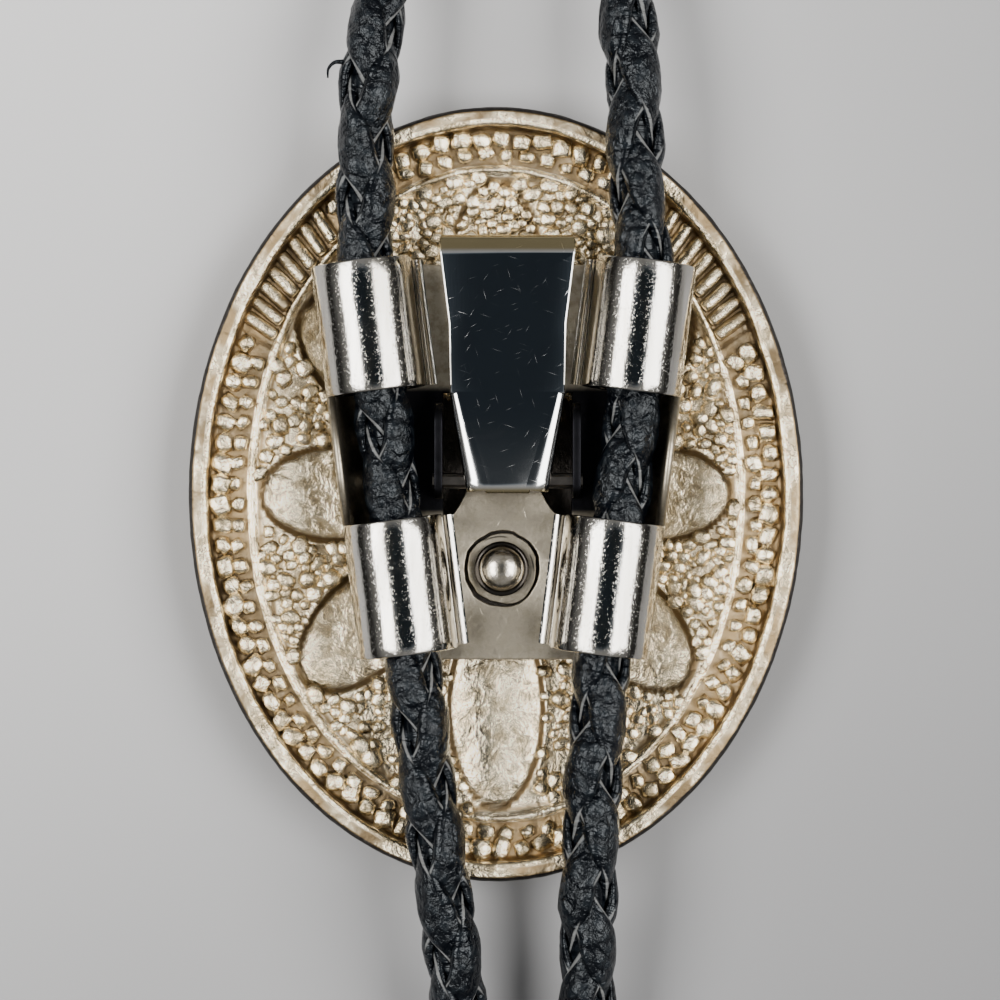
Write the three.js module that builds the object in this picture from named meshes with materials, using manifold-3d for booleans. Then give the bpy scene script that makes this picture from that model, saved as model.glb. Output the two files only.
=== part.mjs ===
// Bolo tie seen from its back: a cast oval medallion with a hollow back, the locking clip riveted to it,
// and a round leather cord that goes up one side of the clip, once round the neck and down the other.
// Millimetres. The tie lies face down: +Z points away from the surface it lies on, +Y is up as worn.
import * as THREE from 'three';
import { mergeVertices } from 'three/addons/utils/BufferGeometryUtils.js';
import Module from 'manifold-3d';

const wasm = await Module();
wasm.setup();

// Driving dimensions

const clearance = 0.3; // gap between neighbouring pieces

const medallionWidth = 48.6;
const medallionHeight = 61.2;
const castWall = 1.5;
const edgeThickness = 2.3;
const domeRise = 2.0; // from the front's middle to its edge
const facetRadius = 3.4; // flat middle of the rosette, on which the tie lies
const facetHeight = 0.9;
const rimLand = 1.5;
const borderWidth = 3.2;
const borderDepth = 1.35; // from the rim's back down to the border's floor
const beadRelief = 0.45;
const ridgeWidth = 0.6;
const ridgeRelief = 0.4;
const medallionSides = 56;

const petalCount = 8;
const petalWidth = 7.6;
const petalSunk = 0.7; // depth of a petal in the back
const petalRaised = 0.75; // height of the same petal on the front

const fluteCount = 8; // ribs in each fluted bar
const flutePitch = 1.3;
const fluteRadius = 0.42;
const fluteHeight = 0.62;
const fluteSink = 0.3; // a fluted bar's floor below the border's floor
const fluteMargin = 0.3; // of a fluted bar's slot, beyond its outer ribs
const fluteBarAngles = [46.5, 133.5]; // degrees round the oval, from the right

const clipOffset = 0.6; // the clip's middle line, to the right of the medallion's
const clipTop = 17.6; // height of the upper tubes' mouths above the medallion's middle
const clipLength = 30.5;
const sheet = 0.65; // thickness of the clip's sheet metal
const plateLift = 0.18; // boss top above the ridge round the back's field
const plateLip = 0.6; // plate beyond the lower tubes' mouths
const plateMargin = 3.0; // plate beyond the tubes' axes
const tubeDiameter = 7.8;
const tubeSpacing = 22.3; // between the tubes' axes at the clip's top
const tubeLean = 7; // degrees, towards each other downwards
const upperTube = 10.2;
const lowerTube = 10.5;
const troughWall = 0.65; // the troughs' outer walls above the tubes' axes
const tubeSides = 24;
const tongueWidth = 5.8; // middle web where it ends under the lever
const tongueReach = 2.4;

const leverOffset = 0.3; // the lever's middle line, to the right of the clip's
const leverThickness = 0.8;
const leverTopWidth = 10.5;
const leverWaistWidth = 9.1;
const leverHeelWidth = 6.4;
const leverLength = 18.6; // heel to lip
const waistFromLip = 5.6;
const heelBelowPin = 0.85;
const flangeLength = 7.6;
const lipLength = 1.3;
const lipBend = 24; // degrees
const pinAboveTongue = 1.1;
const pinHeight = 2.95; // above the plate
const pinRadius = 0.6;
const pinWall = 0.5; // metal round the pin's holes
const leverPlay = 0.5; // between the lever's flanges and the ears
const earReach = 6.1; // of an ear, up from the pin

const rivetOffset = -0.15; // from the clip's middle line
const rivetBelowPin = 6.9;
const rivetShank = 1.5; // radius
const rivetHead = 2.4; // radius
const rivetDome = 1.6;
const rivetDepth = 1.4; // its blind hole in the boss
const bossWall = 1.9;

const cordRadius = 2.4;
const cordSides = 10;
const cordStep = 12.2; // length of one straight facet of the cord's solid
const tipRadius = 3.3;
const tipLength = 33;
const tipSides = 14;

// The neck loop's route, from the lower left tube up, round the neck and down to the lower right tube.
// Beyond y = 75 it lies on the surface.
const neckRoute = [
  [-7.06, -8, 8.25], [-8.04, 0, 8.25], [-9.15, 9, 8.25], [-10.1, 17, 8.25],
  [-10.15, 24, 8.15], [-10.05, 31, 7.85], [-9.0, 39, 6.8], [-8.1, 48, 4.8], [-8.5, 58, 3.1],
  [-11.6, 70, 2.5], [-20, 88, 2.45], [-34, 110, 2.45], [-53, 138, 2.45], [-71, 170, 2.45],
  [-84, 206, 2.45], [-87, 243, 2.45], [-77, 279, 2.45], [-56, 307, 2.45], [-29, 324, 2.45],
  [1, 330, 2.45],
  [31, 324, 2.45], [58, 307, 2.45], [79, 279, 2.45], [89, 243, 2.45], [86, 206, 2.45],
  [73, 170, 2.45], [55, 138, 2.45], [36, 110, 2.45], [22, 88, 2.45], [13.4, 70, 2.5],
  [10.1, 58, 3.1], [9.7, 48, 4.8], [10.2, 39, 6.8], [10.75, 31, 7.85],
  [10.95, 24, 8.15], [11.55, 17, 8.25], [10.9, 9, 8.25], [9.84, 0, 8.25], [8.86, -8, 8.25],
];
const leftTailRoute = [
  [-7.02, -8.3, 8.25], [-6.45, -13, 8.25], [-5.95, -17.5, 8.25], [-5.35, -22.4, 8.2],
  [-4.3, -29.6, 8.0], [-3.45, -35.5, 7.2], [-2.85, -41, 5.8], [-2.4, -46, 4.4], [-2.25, -51, 3.45],
];
const rightTailRoute = [
  [8.82, -8.3, 8.25], [8.25, -13, 8.25], [7.9, -17.5, 8.25], [7.56, -22.4, 8.2],
  [7.24, -29.6, 8.0], [7.16, -35.5, 7.2], [7.15, -41, 5.8], [7.16, -46, 4.4], [7.2, -51, 3.45],
];

// Solids from three.js shapes, and back

function solidOf(geometry) {
  const bare = geometry.clone();
  bare.deleteAttribute('normal');
  bare.deleteAttribute('uv');
  const merged = mergeVertices(bare, 1e-4);
  const corners = merged.index.array;
  const triVerts = [];
  for (let i = 0; i < corners.length; i += 3) {
    const [a, b, c] = [corners[i], corners[i + 1], corners[i + 2]];
    if (a !== b && b !== c && c !== a) triVerts.push(a, b, c);
  }
  return new wasm.Manifold(new wasm.Mesh({
    numProp: 3,
    vertProperties: merged.attributes.position.array,
    triVerts: new Uint32Array(triVerts),
  }));
}

function geometryOf(solid) {
  const { vertProperties, triVerts } = solid.getMesh();
  const geometry = new THREE.BufferGeometry();
  geometry.setAttribute('position', new THREE.BufferAttribute(new Float32Array(vertProperties), 3));
  geometry.setIndex(new THREE.BufferAttribute(new Uint32Array(triVerts), 1));
  const flat = geometry.toNonIndexed();
  flat.computeVertexNormals();
  return flat;
}

function joined(solids) {
  return solids.reduce((whole, solid) => whole.add(solid));
}

function prism(outline, bottom, height) {
  const geometry = new THREE.ExtrudeGeometry(outline, {
    depth: height, bevelEnabled: false, curveSegments: 6,
  });
  return geometry.translate(0, 0, bottom);
}

function outlineOf(points) {
  return new THREE.Shape(points.map(([x, y]) => new THREE.Vector2(x, y)));
}

const radians = THREE.MathUtils.degToRad;

const castMetal = new THREE.MeshStandardMaterial({ color: 0xb3aa98, roughness: 0.42, metalness: 1 });
const pressedMetal = new THREE.MeshStandardMaterial({ color: 0xa8a196, roughness: 0.22, metalness: 1 });
const polishedMetal = new THREE.MeshStandardMaterial({ color: 0xb9bcc0, roughness: 0.08, metalness: 1 });
const leather = new THREE.MeshStandardMaterial({ color: 0x0b0c0f, roughness: 0.45, metalness: 0 });

// Medallion

const halfWidth = medallionWidth / 2;
const halfHeight = medallionHeight / 2;
const borderOuter = halfWidth - rimLand;
const borderInner = borderOuter - borderWidth;
const fieldRadius = borderInner - ridgeWidth;
const rimBack = facetHeight + domeRise + edgeThickness;
const borderFloor = rimBack - borderDepth;

// Height of the front and back walls at a radius along the oval's short half
function frontAt(radius) {
  return facetHeight + domeRise * (radius / halfWidth) ** 2;
}
function backAt(radius) {
  return frontAt(radius) + castWall;
}

const ridgeTop = backAt(fieldRadius) + ridgeRelief;
const bossTop = ridgeTop + plateLift;

function edgeRadius(angle) {
  return halfWidth * halfHeight / Math.hypot(halfHeight * Math.cos(angle), halfWidth * Math.sin(angle));
}

// A point of the oval that lies a given distance inside its edge
function insideEdge(angle, inset) {
  const radius = edgeRadius(angle) - inset;
  return [radius * Math.cos(angle), radius * Math.sin(angle)];
}

// Turns a round lathe shape into the oval: the border keeps its width, the field inside it stretches
function makeOval(geometry) {
  const points = geometry.attributes.position;
  for (let i = 0; i < points.count; i += 1) {
    const x = points.getX(i);
    const y = points.getY(i);
    const radius = Math.hypot(x, y);
    if (radius > 1e-6) {
      const extra = edgeRadius(Math.atan2(y, x)) - halfWidth;
      const scale = 1 + extra * Math.min(1, radius / fieldRadius) / radius;
      points.setXY(i, x * scale, y * scale);
    }
  }
  return geometry;
}

// The border from the rim inwards: across is a share of borderWidth, lift a share of beadRelief
const borderRows = [
  { across: 0.02, lift: 0 },
  { across: 0.25, lift: 1 },
  { across: 0.49, lift: 0 },
  { across: 0.74, lift: 1 },
  { across: 0.98, lift: 0 },
];

function medallionShell() {
  const edgeRound = rimLand * 0.25;
  const front = [
    [0, 0],
    [facetRadius, 0],
    [facetRadius + facetHeight / 2, frontAt(facetRadius)],
    ...[0.5, 0.78, 1].map((share) => [fieldRadius * share, frontAt(fieldRadius * share)]),
    [fieldRadius + ridgeWidth * 0.3, frontAt(fieldRadius) - ridgeRelief],
    [fieldRadius + ridgeWidth * 0.75, frontAt(fieldRadius) - ridgeRelief],
    ...borderRows.toReversed().map(({ across, lift }) => {
      const radius = borderOuter - borderWidth * across;
      return [radius, frontAt(radius) - beadRelief * lift];
    }),
    [borderOuter + edgeRound / 2, frontAt(borderOuter) - ridgeRelief],
    [halfWidth - edgeRound, frontAt(halfWidth) - ridgeRelief],
    [halfWidth, frontAt(halfWidth)],
  ];
  const back = [
    [halfWidth - edgeRound / 2, rimBack - edgeRound],
    [halfWidth - edgeRound * 1.3, rimBack],
    [borderOuter, rimBack],
    ...borderRows.map(({ across, lift }) => [
      borderOuter - borderWidth * across, borderFloor + beadRelief * lift,
    ]),
    [fieldRadius + ridgeWidth * 0.75, ridgeTop],
    [fieldRadius + ridgeWidth * 0.3, ridgeTop],
    ...[1, 0.78, 0.5].map((share) => [fieldRadius * share, backAt(fieldRadius * share)]),
    [0, backAt(0)],
  ];
  const profile = [...front, ...back].map(([radius, height]) => new THREE.Vector2(radius, height));
  const geometry = new THREE.LatheGeometry(profile, medallionSides).rotateX(Math.PI / 2);
  return solidOf(makeOval(geometry));
}

// Eight petals round the middle, each half of an ellipsoid in the wall's surface
function petals(surfaceAt, depth) {
  const inner = 0.36;
  const outer = 0.985;
  return Array.from({ length: petalCount }, (_, i) => {
    const angle = (i / petalCount) * 2 * Math.PI;
    const reach = edgeRadius(angle) - (halfWidth - fieldRadius);
    const middle = reach * (inner + outer) / 2;
    const halfLength = reach * (outer - inner) / 2;
    const rise = surfaceAt(fieldRadius * outer) - surfaceAt(fieldRadius * inner);
    const height = (surfaceAt(fieldRadius * outer) + surfaceAt(fieldRadius * inner)) / 2;
    return solidOf(new THREE.SphereGeometry(1, 12, 6)
      .rotateX(Math.PI / 2)
      .scale(halfLength, petalWidth / 2, depth)
      .rotateY(-Math.atan2(rise, halfLength * 2))
      .rotateZ(angle)
      .translate(middle * Math.cos(angle), middle * Math.sin(angle), height));
  });
}

// A curved slot in the border that a fluted bar fills, cut between two heights
function fluteSlot(angle, bottom, top) {
  const inset = rimLand + borderWidth / 2;
  const halfSpan = (fluteCount * flutePitch / 2 + fluteMargin) / (edgeRadius(angle) - inset);
  const steps = [-1, -0.5, 0, 0.5, 1];
  const sideAt = (share) => steps.map((step) => (
    insideEdge(angle + step * halfSpan, rimLand + borderWidth * share)
  ));
  return solidOf(prism(outlineOf([...sideAt(0.04), ...sideAt(0.96).reverse()]), bottom, top - bottom));
}

function flutes(angle, height) {
  const inset = rimLand + borderWidth / 2;
  const pitch = flutePitch / (edgeRadius(angle) - inset);
  return Array.from({ length: fluteCount }, (_, i) => {
    const turn = angle + (i - (fluteCount - 1) / 2) * pitch;
    const [x, y] = insideEdge(turn, inset);
    return solidOf(new THREE.CylinderGeometry(fluteRadius, fluteRadius, borderWidth * 0.98, 6)
      .rotateZ(-Math.PI / 2)
      .scale(1, 1, fluteHeight / fluteRadius)
      .rotateZ(turn)
      .translate(x, y, height));
  });
}

function disc(radius, bottom, top, sides) {
  return new THREE.CylinderGeometry(radius, radius, top - bottom, sides)
    .rotateX(Math.PI / 2)
    .translate(0, 0, (top + bottom) / 2);
}

const pinUp = clipTop - clipLength + lowerTube * Math.cos(radians(tubeLean)) + tongueReach + pinAboveTongue;
const rivetPlace = [clipOffset + rivetOffset, pinUp - rivetBelowPin];

function medallionGeometry() {
  const backBar = borderFloor - fluteSink;
  const frontBar = frontAt(borderOuter) - fluteSink / 2;
  let medallion = medallionShell();
  petals(backAt, petalSunk).forEach((petal) => {
    medallion = medallion.subtract(petal);
  });
  petals(frontAt, petalRaised).forEach((petal) => {
    medallion = medallion.add(petal.subtract(solidOf(
      new THREE.BoxGeometry(medallionWidth * 2, medallionHeight * 2, castWall * 2)
        .translate(0, 0, frontAt(halfWidth) + castWall),
    )));
  });
  fluteBarAngles.map(radians).forEach((angle) => {
    medallion = medallion
      .subtract(fluteSlot(angle, backBar, rimBack + castWall))
      .subtract(fluteSlot(angle, -castWall, frontBar))
      .add(joined(flutes(angle, backBar)))
      .add(joined(flutes(angle, frontBar)));
  });
  const boss = disc(rivetShank + clearance + bossWall, backAt(0) - castWall / 2, bossTop, 24)
    .translate(...rivetPlace, 0);
  const socket = disc(rivetShank + clearance, bossTop - rivetDepth, bossTop + castWall, 20)
    .translate(...rivetPlace, 0);
  return geometryOf(medallion.add(solidOf(boss)).subtract(solidOf(socket)));
}

// Clip: its own frame has z = 0 at the underside of its plate and x = 0 on its middle line

const plateUnderside = bossTop + clearance;
const tubeRadius = tubeDiameter / 2;
const columnLength = clipLength / Math.cos(radians(tubeLean));
const pinZ = sheet + pinHeight;
const earInner = Math.max(leverWaistWidth, leverHeelWidth) / 2 + leverPlay;

// Half the distance between the tubes' axes at a height on the medallion
function axisAt(y) {
  return tubeSpacing / 2 - (clipTop - y) * Math.tan(radians(tubeLean));
}

// Places a shape that is modelled downwards from a tube's upper mouth, side is -1 or 1
function onColumn(geometry, side) {
  return solidOf(geometry
    .rotateZ(-side * radians(tubeLean))
    .translate(side * tubeSpacing / 2, clipTop, tubeRadius));
}

// A rod along a column's axis, longer than the column at both ends by the extra length
function columnRod(radius, side, extra) {
  const rod = new THREE.CylinderGeometry(radius, radius, columnLength + 2 * extra, tubeSides)
    .rotateY(Math.PI / tubeSides)
    .translate(0, -columnLength / 2, 0);
  return onColumn(rod, side);
}

// What is cut away between the upper and the lower tube, which leaves a trough open towards the lever
function columnWindow(side) {
  const length = columnLength - upperTube - lowerTube;
  const middle = -upperTube - length / 2;
  const above = new THREE.BoxGeometry(tubeDiameter * 1.2, length, tubeDiameter)
    .translate(0, middle, troughWall + tubeDiameter / 2);
  const inner = new THREE.BoxGeometry(tubeDiameter, length, tubeDiameter)
    .translate(-side * tubeDiameter / 2, middle, sheet * 1.15 - tubeRadius + tubeDiameter / 2);
  return onColumn(above, side).add(onColumn(inner, side));
}

function plateOutline() {
  const bottom = clipTop - clipLength - plateLip;
  const topHalf = axisAt(clipTop) + plateMargin;
  const bottomHalf = axisAt(bottom) + plateMargin;
  const outline = outlineOf([
    [-topHalf, clipTop], [-bottomHalf, bottom], [bottomHalf, bottom], [topHalf, clipTop],
  ]);
  const windowTop = clipTop - upperTube * Math.cos(radians(tubeLean));
  const windowBottom = clipTop - clipLength + lowerTube * Math.cos(radians(tubeLean));
  const tongueTop = windowBottom + tongueReach;
  const left = leverOffset - earInner;
  const right = leverOffset + earInner;
  const window = new THREE.Path();
  window.moveTo(left, windowTop);
  window.lineTo(left, windowBottom);
  window.quadraticCurveTo(-tongueWidth * 0.66, windowBottom, -tongueWidth / 2, tongueTop);
  window.lineTo(tongueWidth / 2, tongueTop);
  window.quadraticCurveTo(tongueWidth * 0.66, windowBottom, right, windowBottom);
  window.lineTo(right, windowTop);
  outline.holes.push(window);
  return outline;
}

function pinHole(length) {
  return new THREE.CylinderGeometry(pinRadius + clearance, pinRadius + clearance, length, 16)
    .rotateZ(Math.PI / 2);
}

function clipBaseGeometry() {
  const earTop = pinZ + pinRadius + clearance + pinWall;
  const earLow = pinUp - pinRadius - clearance - pinWall;
  const ears = [-1, 1].map((side) => solidOf(
    new THREE.BoxGeometry(sheet, pinUp + earReach - earLow, earTop)
      .translate(leverOffset + side * (earInner + sheet / 2), (pinUp + earReach + earLow) / 2, earTop / 2),
  ));
  const columns = [-1, 1].map((side) => columnRod(tubeRadius, side, 0).subtract(columnWindow(side)));
  const rivetHole = disc(rivetShank + clearance, -sheet, sheet * 2, 20)
    .translate(rivetOffset, pinUp - rivetBelowPin, 0);
  const base = joined([solidOf(prism(plateOutline(), 0, sheet)), ...columns, ...ears])
    .subtract(columnRod(tubeRadius - sheet, -1, tubeRadius))
    .subtract(columnRod(tubeRadius - sheet, 1, tubeRadius))
    .subtract(solidOf(rivetHole))
    .subtract(solidOf(pinHole(tubeSpacing).translate(leverOffset, pinUp, pinZ)));
  return geometryOf(base);
}

// Lever: its own frame has its origin in the middle of the pin
const leverUnder = pinRadius + clearance + pinWall;
const heel = -heelBelowPin;
const leverTop = heel + leverLength;

function leverGeometry() {
  const flangeTop = heel + flangeLength;
  const rightSide = [
    [leverHeelWidth / 2, heel],
    [leverWaistWidth / 2 * 0.98, flangeTop],
    [leverWaistWidth / 2, leverTop - waistFromLip],
    [leverTopWidth / 2, leverTop],
  ];
  const leftSide = rightSide.map(([x, y]) => [-x, y]).reverse();
  const plate = prism(outlineOf([...rightSide, ...leftSide]), leverUnder, leverThickness);
  const lip = new THREE.BoxGeometry(leverTopWidth, lipLength * 2, leverThickness)
    .translate(0, 0, leverThickness / 2)
    .rotateX(radians(lipBend))
    .translate(0, leverTop, leverUnder);
  const lipCut = new THREE.BoxGeometry(leverTopWidth * 2, lipLength * 4, lipLength * 4)
    .translate(0, leverTop, leverUnder - lipLength * 2);
  const spread = (leverWaistWidth * 0.98 - leverHeelWidth) / 2;
  const flangeDrop = leverUnder + leverThickness / 2;
  const flanges = [-1, 1].map((side) => solidOf(
    new THREE.BoxGeometry(sheet, Math.hypot(flangeLength, spread), flangeDrop * 2)
      .translate(-side * sheet / 2, 0, 0)
      .rotateZ(-side * Math.atan2(spread, flangeLength))
      .translate(side * (leverHeelWidth + spread) / 2, (heel + flangeTop) / 2, 0),
  ));
  const flangeTrim = new THREE.BoxGeometry(leverTopWidth * 2, leverLength * 3, flangeDrop)
    .translate(0, 0, -leverUnder - flangeDrop / 2);
  return geometryOf(joined([solidOf(plate), solidOf(lip).subtract(solidOf(lipCut)), ...flanges])
    .subtract(solidOf(flangeTrim))
    .subtract(solidOf(pinHole(leverTopWidth * 2))));
}

function pinGeometry() {
  const length = 2 * (earInner + sheet) + clearance;
  return new THREE.CylinderGeometry(pinRadius, pinRadius, length, 12).rotateZ(Math.PI / 2);
}

// Rivet: its own frame has z = 0 at the plate's underside
function rivetGeometry() {
  const foot = bossTop - rivetDepth + clearance - plateUnderside;
  const seat = sheet + clearance;
  const domeSteps = 5;
  const dome = Array.from({ length: domeSteps }, (_, i) => {
    const turn = (i / domeSteps) * Math.PI / 2;
    return new THREE.Vector2(rivetHead * Math.cos(turn), seat + rivetDome * (0.25 + 0.75 * Math.sin(turn)));
  });
  const profile = [
    new THREE.Vector2(0, foot),
    new THREE.Vector2(rivetShank, foot),
    new THREE.Vector2(rivetShank, seat),
    new THREE.Vector2(rivetHead * 0.96, seat),
    ...dome,
    new THREE.Vector2(0, seat + rivetDome),
  ];
  return new THREE.LatheGeometry(profile, 20).rotateX(Math.PI / 2);
}

// Cord

function routeCurve(route) {
  return new THREE.CatmullRomCurve3(route.map((point) => new THREE.Vector3(...point)), false, 'centripetal');
}

function cordGeometry(route) {
  const curve = routeCurve(route);
  const section = outlineOf(Array.from({ length: cordSides }, (_, i) => {
    const turn = (i / cordSides) * 2 * Math.PI;
    return [cordRadius * Math.cos(turn), cordRadius * Math.sin(turn)];
  }));
  return new THREE.ExtrudeGeometry(section, {
    steps: Math.ceil(curve.getLength() / cordStep), extrudePath: curve, bevelEnabled: false,
  });
}

// A cord tip from its far end to its mouth: along is a share of tipLength, radius a share of tipRadius.
// It lies on its ball and on the near end of its collar.
const ball = { along: 0.06, radius: 0.54 };
const collar = { along: 0.83, radius: 1 };
const tipRows = [
  { along: 0, radius: 0 },
  { along: 0.012, radius: 0.34 },
  ball,
  { along: 0.108, radius: 0.36 },
  { along: 0.13, radius: 0.4 },
  { along: 0.78, radius: 0.86 },
  { along: 0.81, radius: 0.86 },
  collar,
  { along: 0.985, radius: 1 },
  { along: 1, radius: 0.92 },
  { along: 1, radius: 0 },
];
const tipTilt = Math.atan2(
  (collar.radius - ball.radius) * tipRadius,
  (collar.along - ball.along) * tipLength,
);
const tipMouthHeight = tipRadius / Math.cos(tipTilt) + (1 - collar.along) * tipLength * Math.sin(tipTilt);

function tipGeometry() {
  const profile = tipRows.map(({ along, radius }) => (
    new THREE.Vector2(radius * tipRadius, (along - 1) * tipLength)
  ));
  return new THREE.LatheGeometry(profile, tipSides);
}

// Assembly

function piece(name, geometry, material) {
  const mesh = new THREE.Mesh(geometry, material);
  mesh.name = name;
  return mesh;
}

const clip = new THREE.Group();
clip.position.set(clipOffset, 0, plateUnderside);
const lever = piece('clip_lever', leverGeometry(), polishedMetal);
lever.position.set(leverOffset, pinUp, pinZ);
const pin = piece('hinge_pin', pinGeometry(), pressedMetal);
pin.position.copy(lever.position);
const rivet = piece('rivet', rivetGeometry(), polishedMetal);
rivet.position.set(rivetOffset, pinUp - rivetBelowPin, 0);
clip.add(piece('clip_base', clipBaseGeometry(), pressedMetal), lever, pin, rivet);

function tip(name, tailRoute) {
  const [x, y] = tailRoute.at(-1);
  const mesh = piece(name, tipGeometry(), polishedMetal);
  mesh.position.set(x, y - clearance, tipMouthHeight);
  mesh.rotation.set(tipTilt, 0, 0);
  return mesh;
}

const group = new THREE.Group();
group.add(
  piece('medallion', medallionGeometry(), castMetal),
  clip,
  piece('cord_neck_loop', cordGeometry(neckRoute), leather),
  piece('cord_tail_left', cordGeometry(leftTailRoute), leather),
  piece('cord_tail_right', cordGeometry(rightTailRoute), leather),
  tip('tip_left', leftTailRoute),
  tip('tip_right', rightTailRoute),
);

export default group;
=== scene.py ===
import math
import random

import bmesh
import bpy
import numpy as np
from mathutils import Matrix, Vector, noise


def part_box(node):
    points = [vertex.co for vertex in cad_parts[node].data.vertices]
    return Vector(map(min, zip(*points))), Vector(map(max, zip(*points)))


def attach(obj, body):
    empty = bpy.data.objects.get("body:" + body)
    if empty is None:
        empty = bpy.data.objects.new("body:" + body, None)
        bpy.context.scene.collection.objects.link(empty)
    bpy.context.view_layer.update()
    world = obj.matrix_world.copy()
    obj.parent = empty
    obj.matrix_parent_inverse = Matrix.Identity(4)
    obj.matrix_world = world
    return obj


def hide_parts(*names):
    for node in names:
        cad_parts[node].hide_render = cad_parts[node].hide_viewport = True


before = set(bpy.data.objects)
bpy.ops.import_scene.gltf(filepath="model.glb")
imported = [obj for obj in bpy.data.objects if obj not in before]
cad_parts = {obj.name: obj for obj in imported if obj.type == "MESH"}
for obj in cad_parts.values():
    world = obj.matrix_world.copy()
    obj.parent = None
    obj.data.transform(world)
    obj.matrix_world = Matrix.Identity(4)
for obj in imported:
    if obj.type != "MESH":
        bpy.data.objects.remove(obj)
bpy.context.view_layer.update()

# Camera. The photograph looks straight down on the back of the slide from a little under 30 cm,
# and shows 79 mm of it from side to side.
mm = 0.001
rim_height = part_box("medallion")[1].z
camera_distance = 285 * mm
view_width = 78.74 * mm
camera_data = bpy.data.cameras.new("camera")
camera_data.sensor_width = 36
camera_data.lens = camera_data.sensor_width * camera_distance / view_width
camera_data.clip_start = 10 * mm
camera = bpy.data.objects.new("camera", camera_data)
camera.location = (0.315 * mm, -0.47 * mm, rim_height + camera_distance)
bpy.context.scene.collection.objects.link(camera)
bpy.context.scene.camera = camera


# Cord. Four flat laces of black leather, 3 mm wide, braided round a thin core into one cord of 4.8 mm.
# One cord goes up through the left tubes, once round the neck and down through the right ones.
# Its two ends hang out below the clip and are crimped into metal tips.
braid_pitch = 18.0
lace_thickness = 1.15
lace_over = 1.84
lace_under = 0.80
lace_dwell = 0.5
core_radius = 1.35

neck_route = [
    (-7.06, -8, 8.25), (-8.04, 0, 8.25), (-9.15, 9, 8.25), (-10.1, 17, 8.25),
    (-10.15, 24, 8.15), (-10.05, 31, 7.85), (-9.0, 39, 6.8), (-8.1, 48, 4.8), (-8.5, 58, 3.1),
    (-11.6, 70, 2.5), (-20, 88, 2.45), (-34, 110, 2.45), (-53, 138, 2.45), (-71, 170, 2.45),
    (-84, 206, 2.45), (-87, 243, 2.45), (-77, 279, 2.45), (-56, 307, 2.45), (-29, 324, 2.45),
    (1, 330, 2.45),
    (31, 324, 2.45), (58, 307, 2.45), (79, 279, 2.45), (89, 243, 2.45), (86, 206, 2.45),
    (73, 170, 2.45), (55, 138, 2.45), (36, 110, 2.45), (22, 88, 2.45), (13.4, 70, 2.5),
    (10.1, 58, 3.1), (9.7, 48, 4.8), (10.2, 39, 6.8), (10.75, 31, 7.85),
    (10.95, 24, 8.15), (11.55, 17, 8.25), (10.9, 9, 8.25), (9.84, 0, 8.25), (8.86, -8, 8.25),
]
left_tail_route = [
    (-7.02, -8.3, 8.25), (-6.45, -13, 8.25), (-5.95, -17.5, 8.25), (-5.35, -22.4, 8.2),
    (-4.3, -29.6, 8.0), (-3.45, -35.5, 7.2), (-2.85, -41, 5.8), (-2.4, -46, 4.4), (-2.25, -51, 3.45),
]
right_tail_route = [
    (8.82, -8.3, 8.25), (8.25, -13, 8.25), (7.9, -17.5, 8.25), (7.56, -22.4, 8.2),
    (7.24, -29.6, 8.0), (7.16, -35.5, 7.2), (7.15, -41, 5.8), (7.16, -46, 4.4), (7.2, -51, 3.45),
]


def smooth_route(route):
    """Close points on the smooth curve through a route's points, spaced by the root of their distance."""
    points = [np.array(point, float) for point in route]
    points = [2 * points[0] - points[1], *points, 2 * points[-1] - points[-2]]
    curve = []
    for a, b, c, d in zip(points, points[1:], points[2:], points[3:]):
        knots = np.cumsum([0] + [math.sqrt(np.linalg.norm(q - p)) for p, q in ((a, b), (b, c), (c, d))])
        t = np.linspace(knots[1], knots[2], 60, endpoint=False)[:, None]

        def between(p, q, start, end):
            return p + (q - p) * (t - start) / (end - start)

        ab, bc, cd = (
            between(p, q, knots[i], knots[i + 1]) for i, (p, q) in enumerate(((a, b), (b, c), (c, d)))
        )
        abc = between(ab, bc, knots[0], knots[2])
        bcd = between(bc, cd, knots[1], knots[3])
        curve.append(between(abc, bcd, knots[1], knots[2]))
    return np.concatenate([*curve, [points[-2]]])


def even_steps(curve, fine, coarse, fine_below):
    """The curve in even steps, coarse ones where it lies higher up than fine_below. Gives distances too."""
    along = np.concatenate([[0], np.cumsum(np.linalg.norm(np.diff(curve, axis=0), axis=1))])
    places = [0.0]
    while places[-1] < along[-1]:
        height = np.interp(places[-1], along, curve[:, 1])
        places.append(places[-1] + (fine if height < fine_below else coarse))
    places[-1] = along[-1]
    middle = np.stack([np.interp(places, along, curve[:, axis]) for axis in range(3)], axis=1)
    return middle, np.array(places)


def float_layer(form, name):
    return form.verts.layers.float.get(name) or form.verts.layers.float.new(name)


def sweep(form, rings, values):
    """Adds a closed tube through rings of points, in mm. Each ring's last point is its first again."""
    rows, columns = rings.shape[:2]
    for name in values:
        float_layer(form, name)
    grid = bmesh.ops.create_grid(form, x_segments=columns - 1, y_segments=rows - 1, size=0.5)["verts"]
    for vertex, point in zip(grid, rings.reshape(-1, 3) * mm):
        vertex.co = point
    for name, value in values.items():
        layer = float_layer(form, name)
        for vertex, number in zip(grid, np.broadcast_to(value, (rows, columns)).ravel()):
            vertex[layer] = number
    bmesh.ops.remove_doubles(form, verts=grid, dist=1e-4 * mm)


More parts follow.
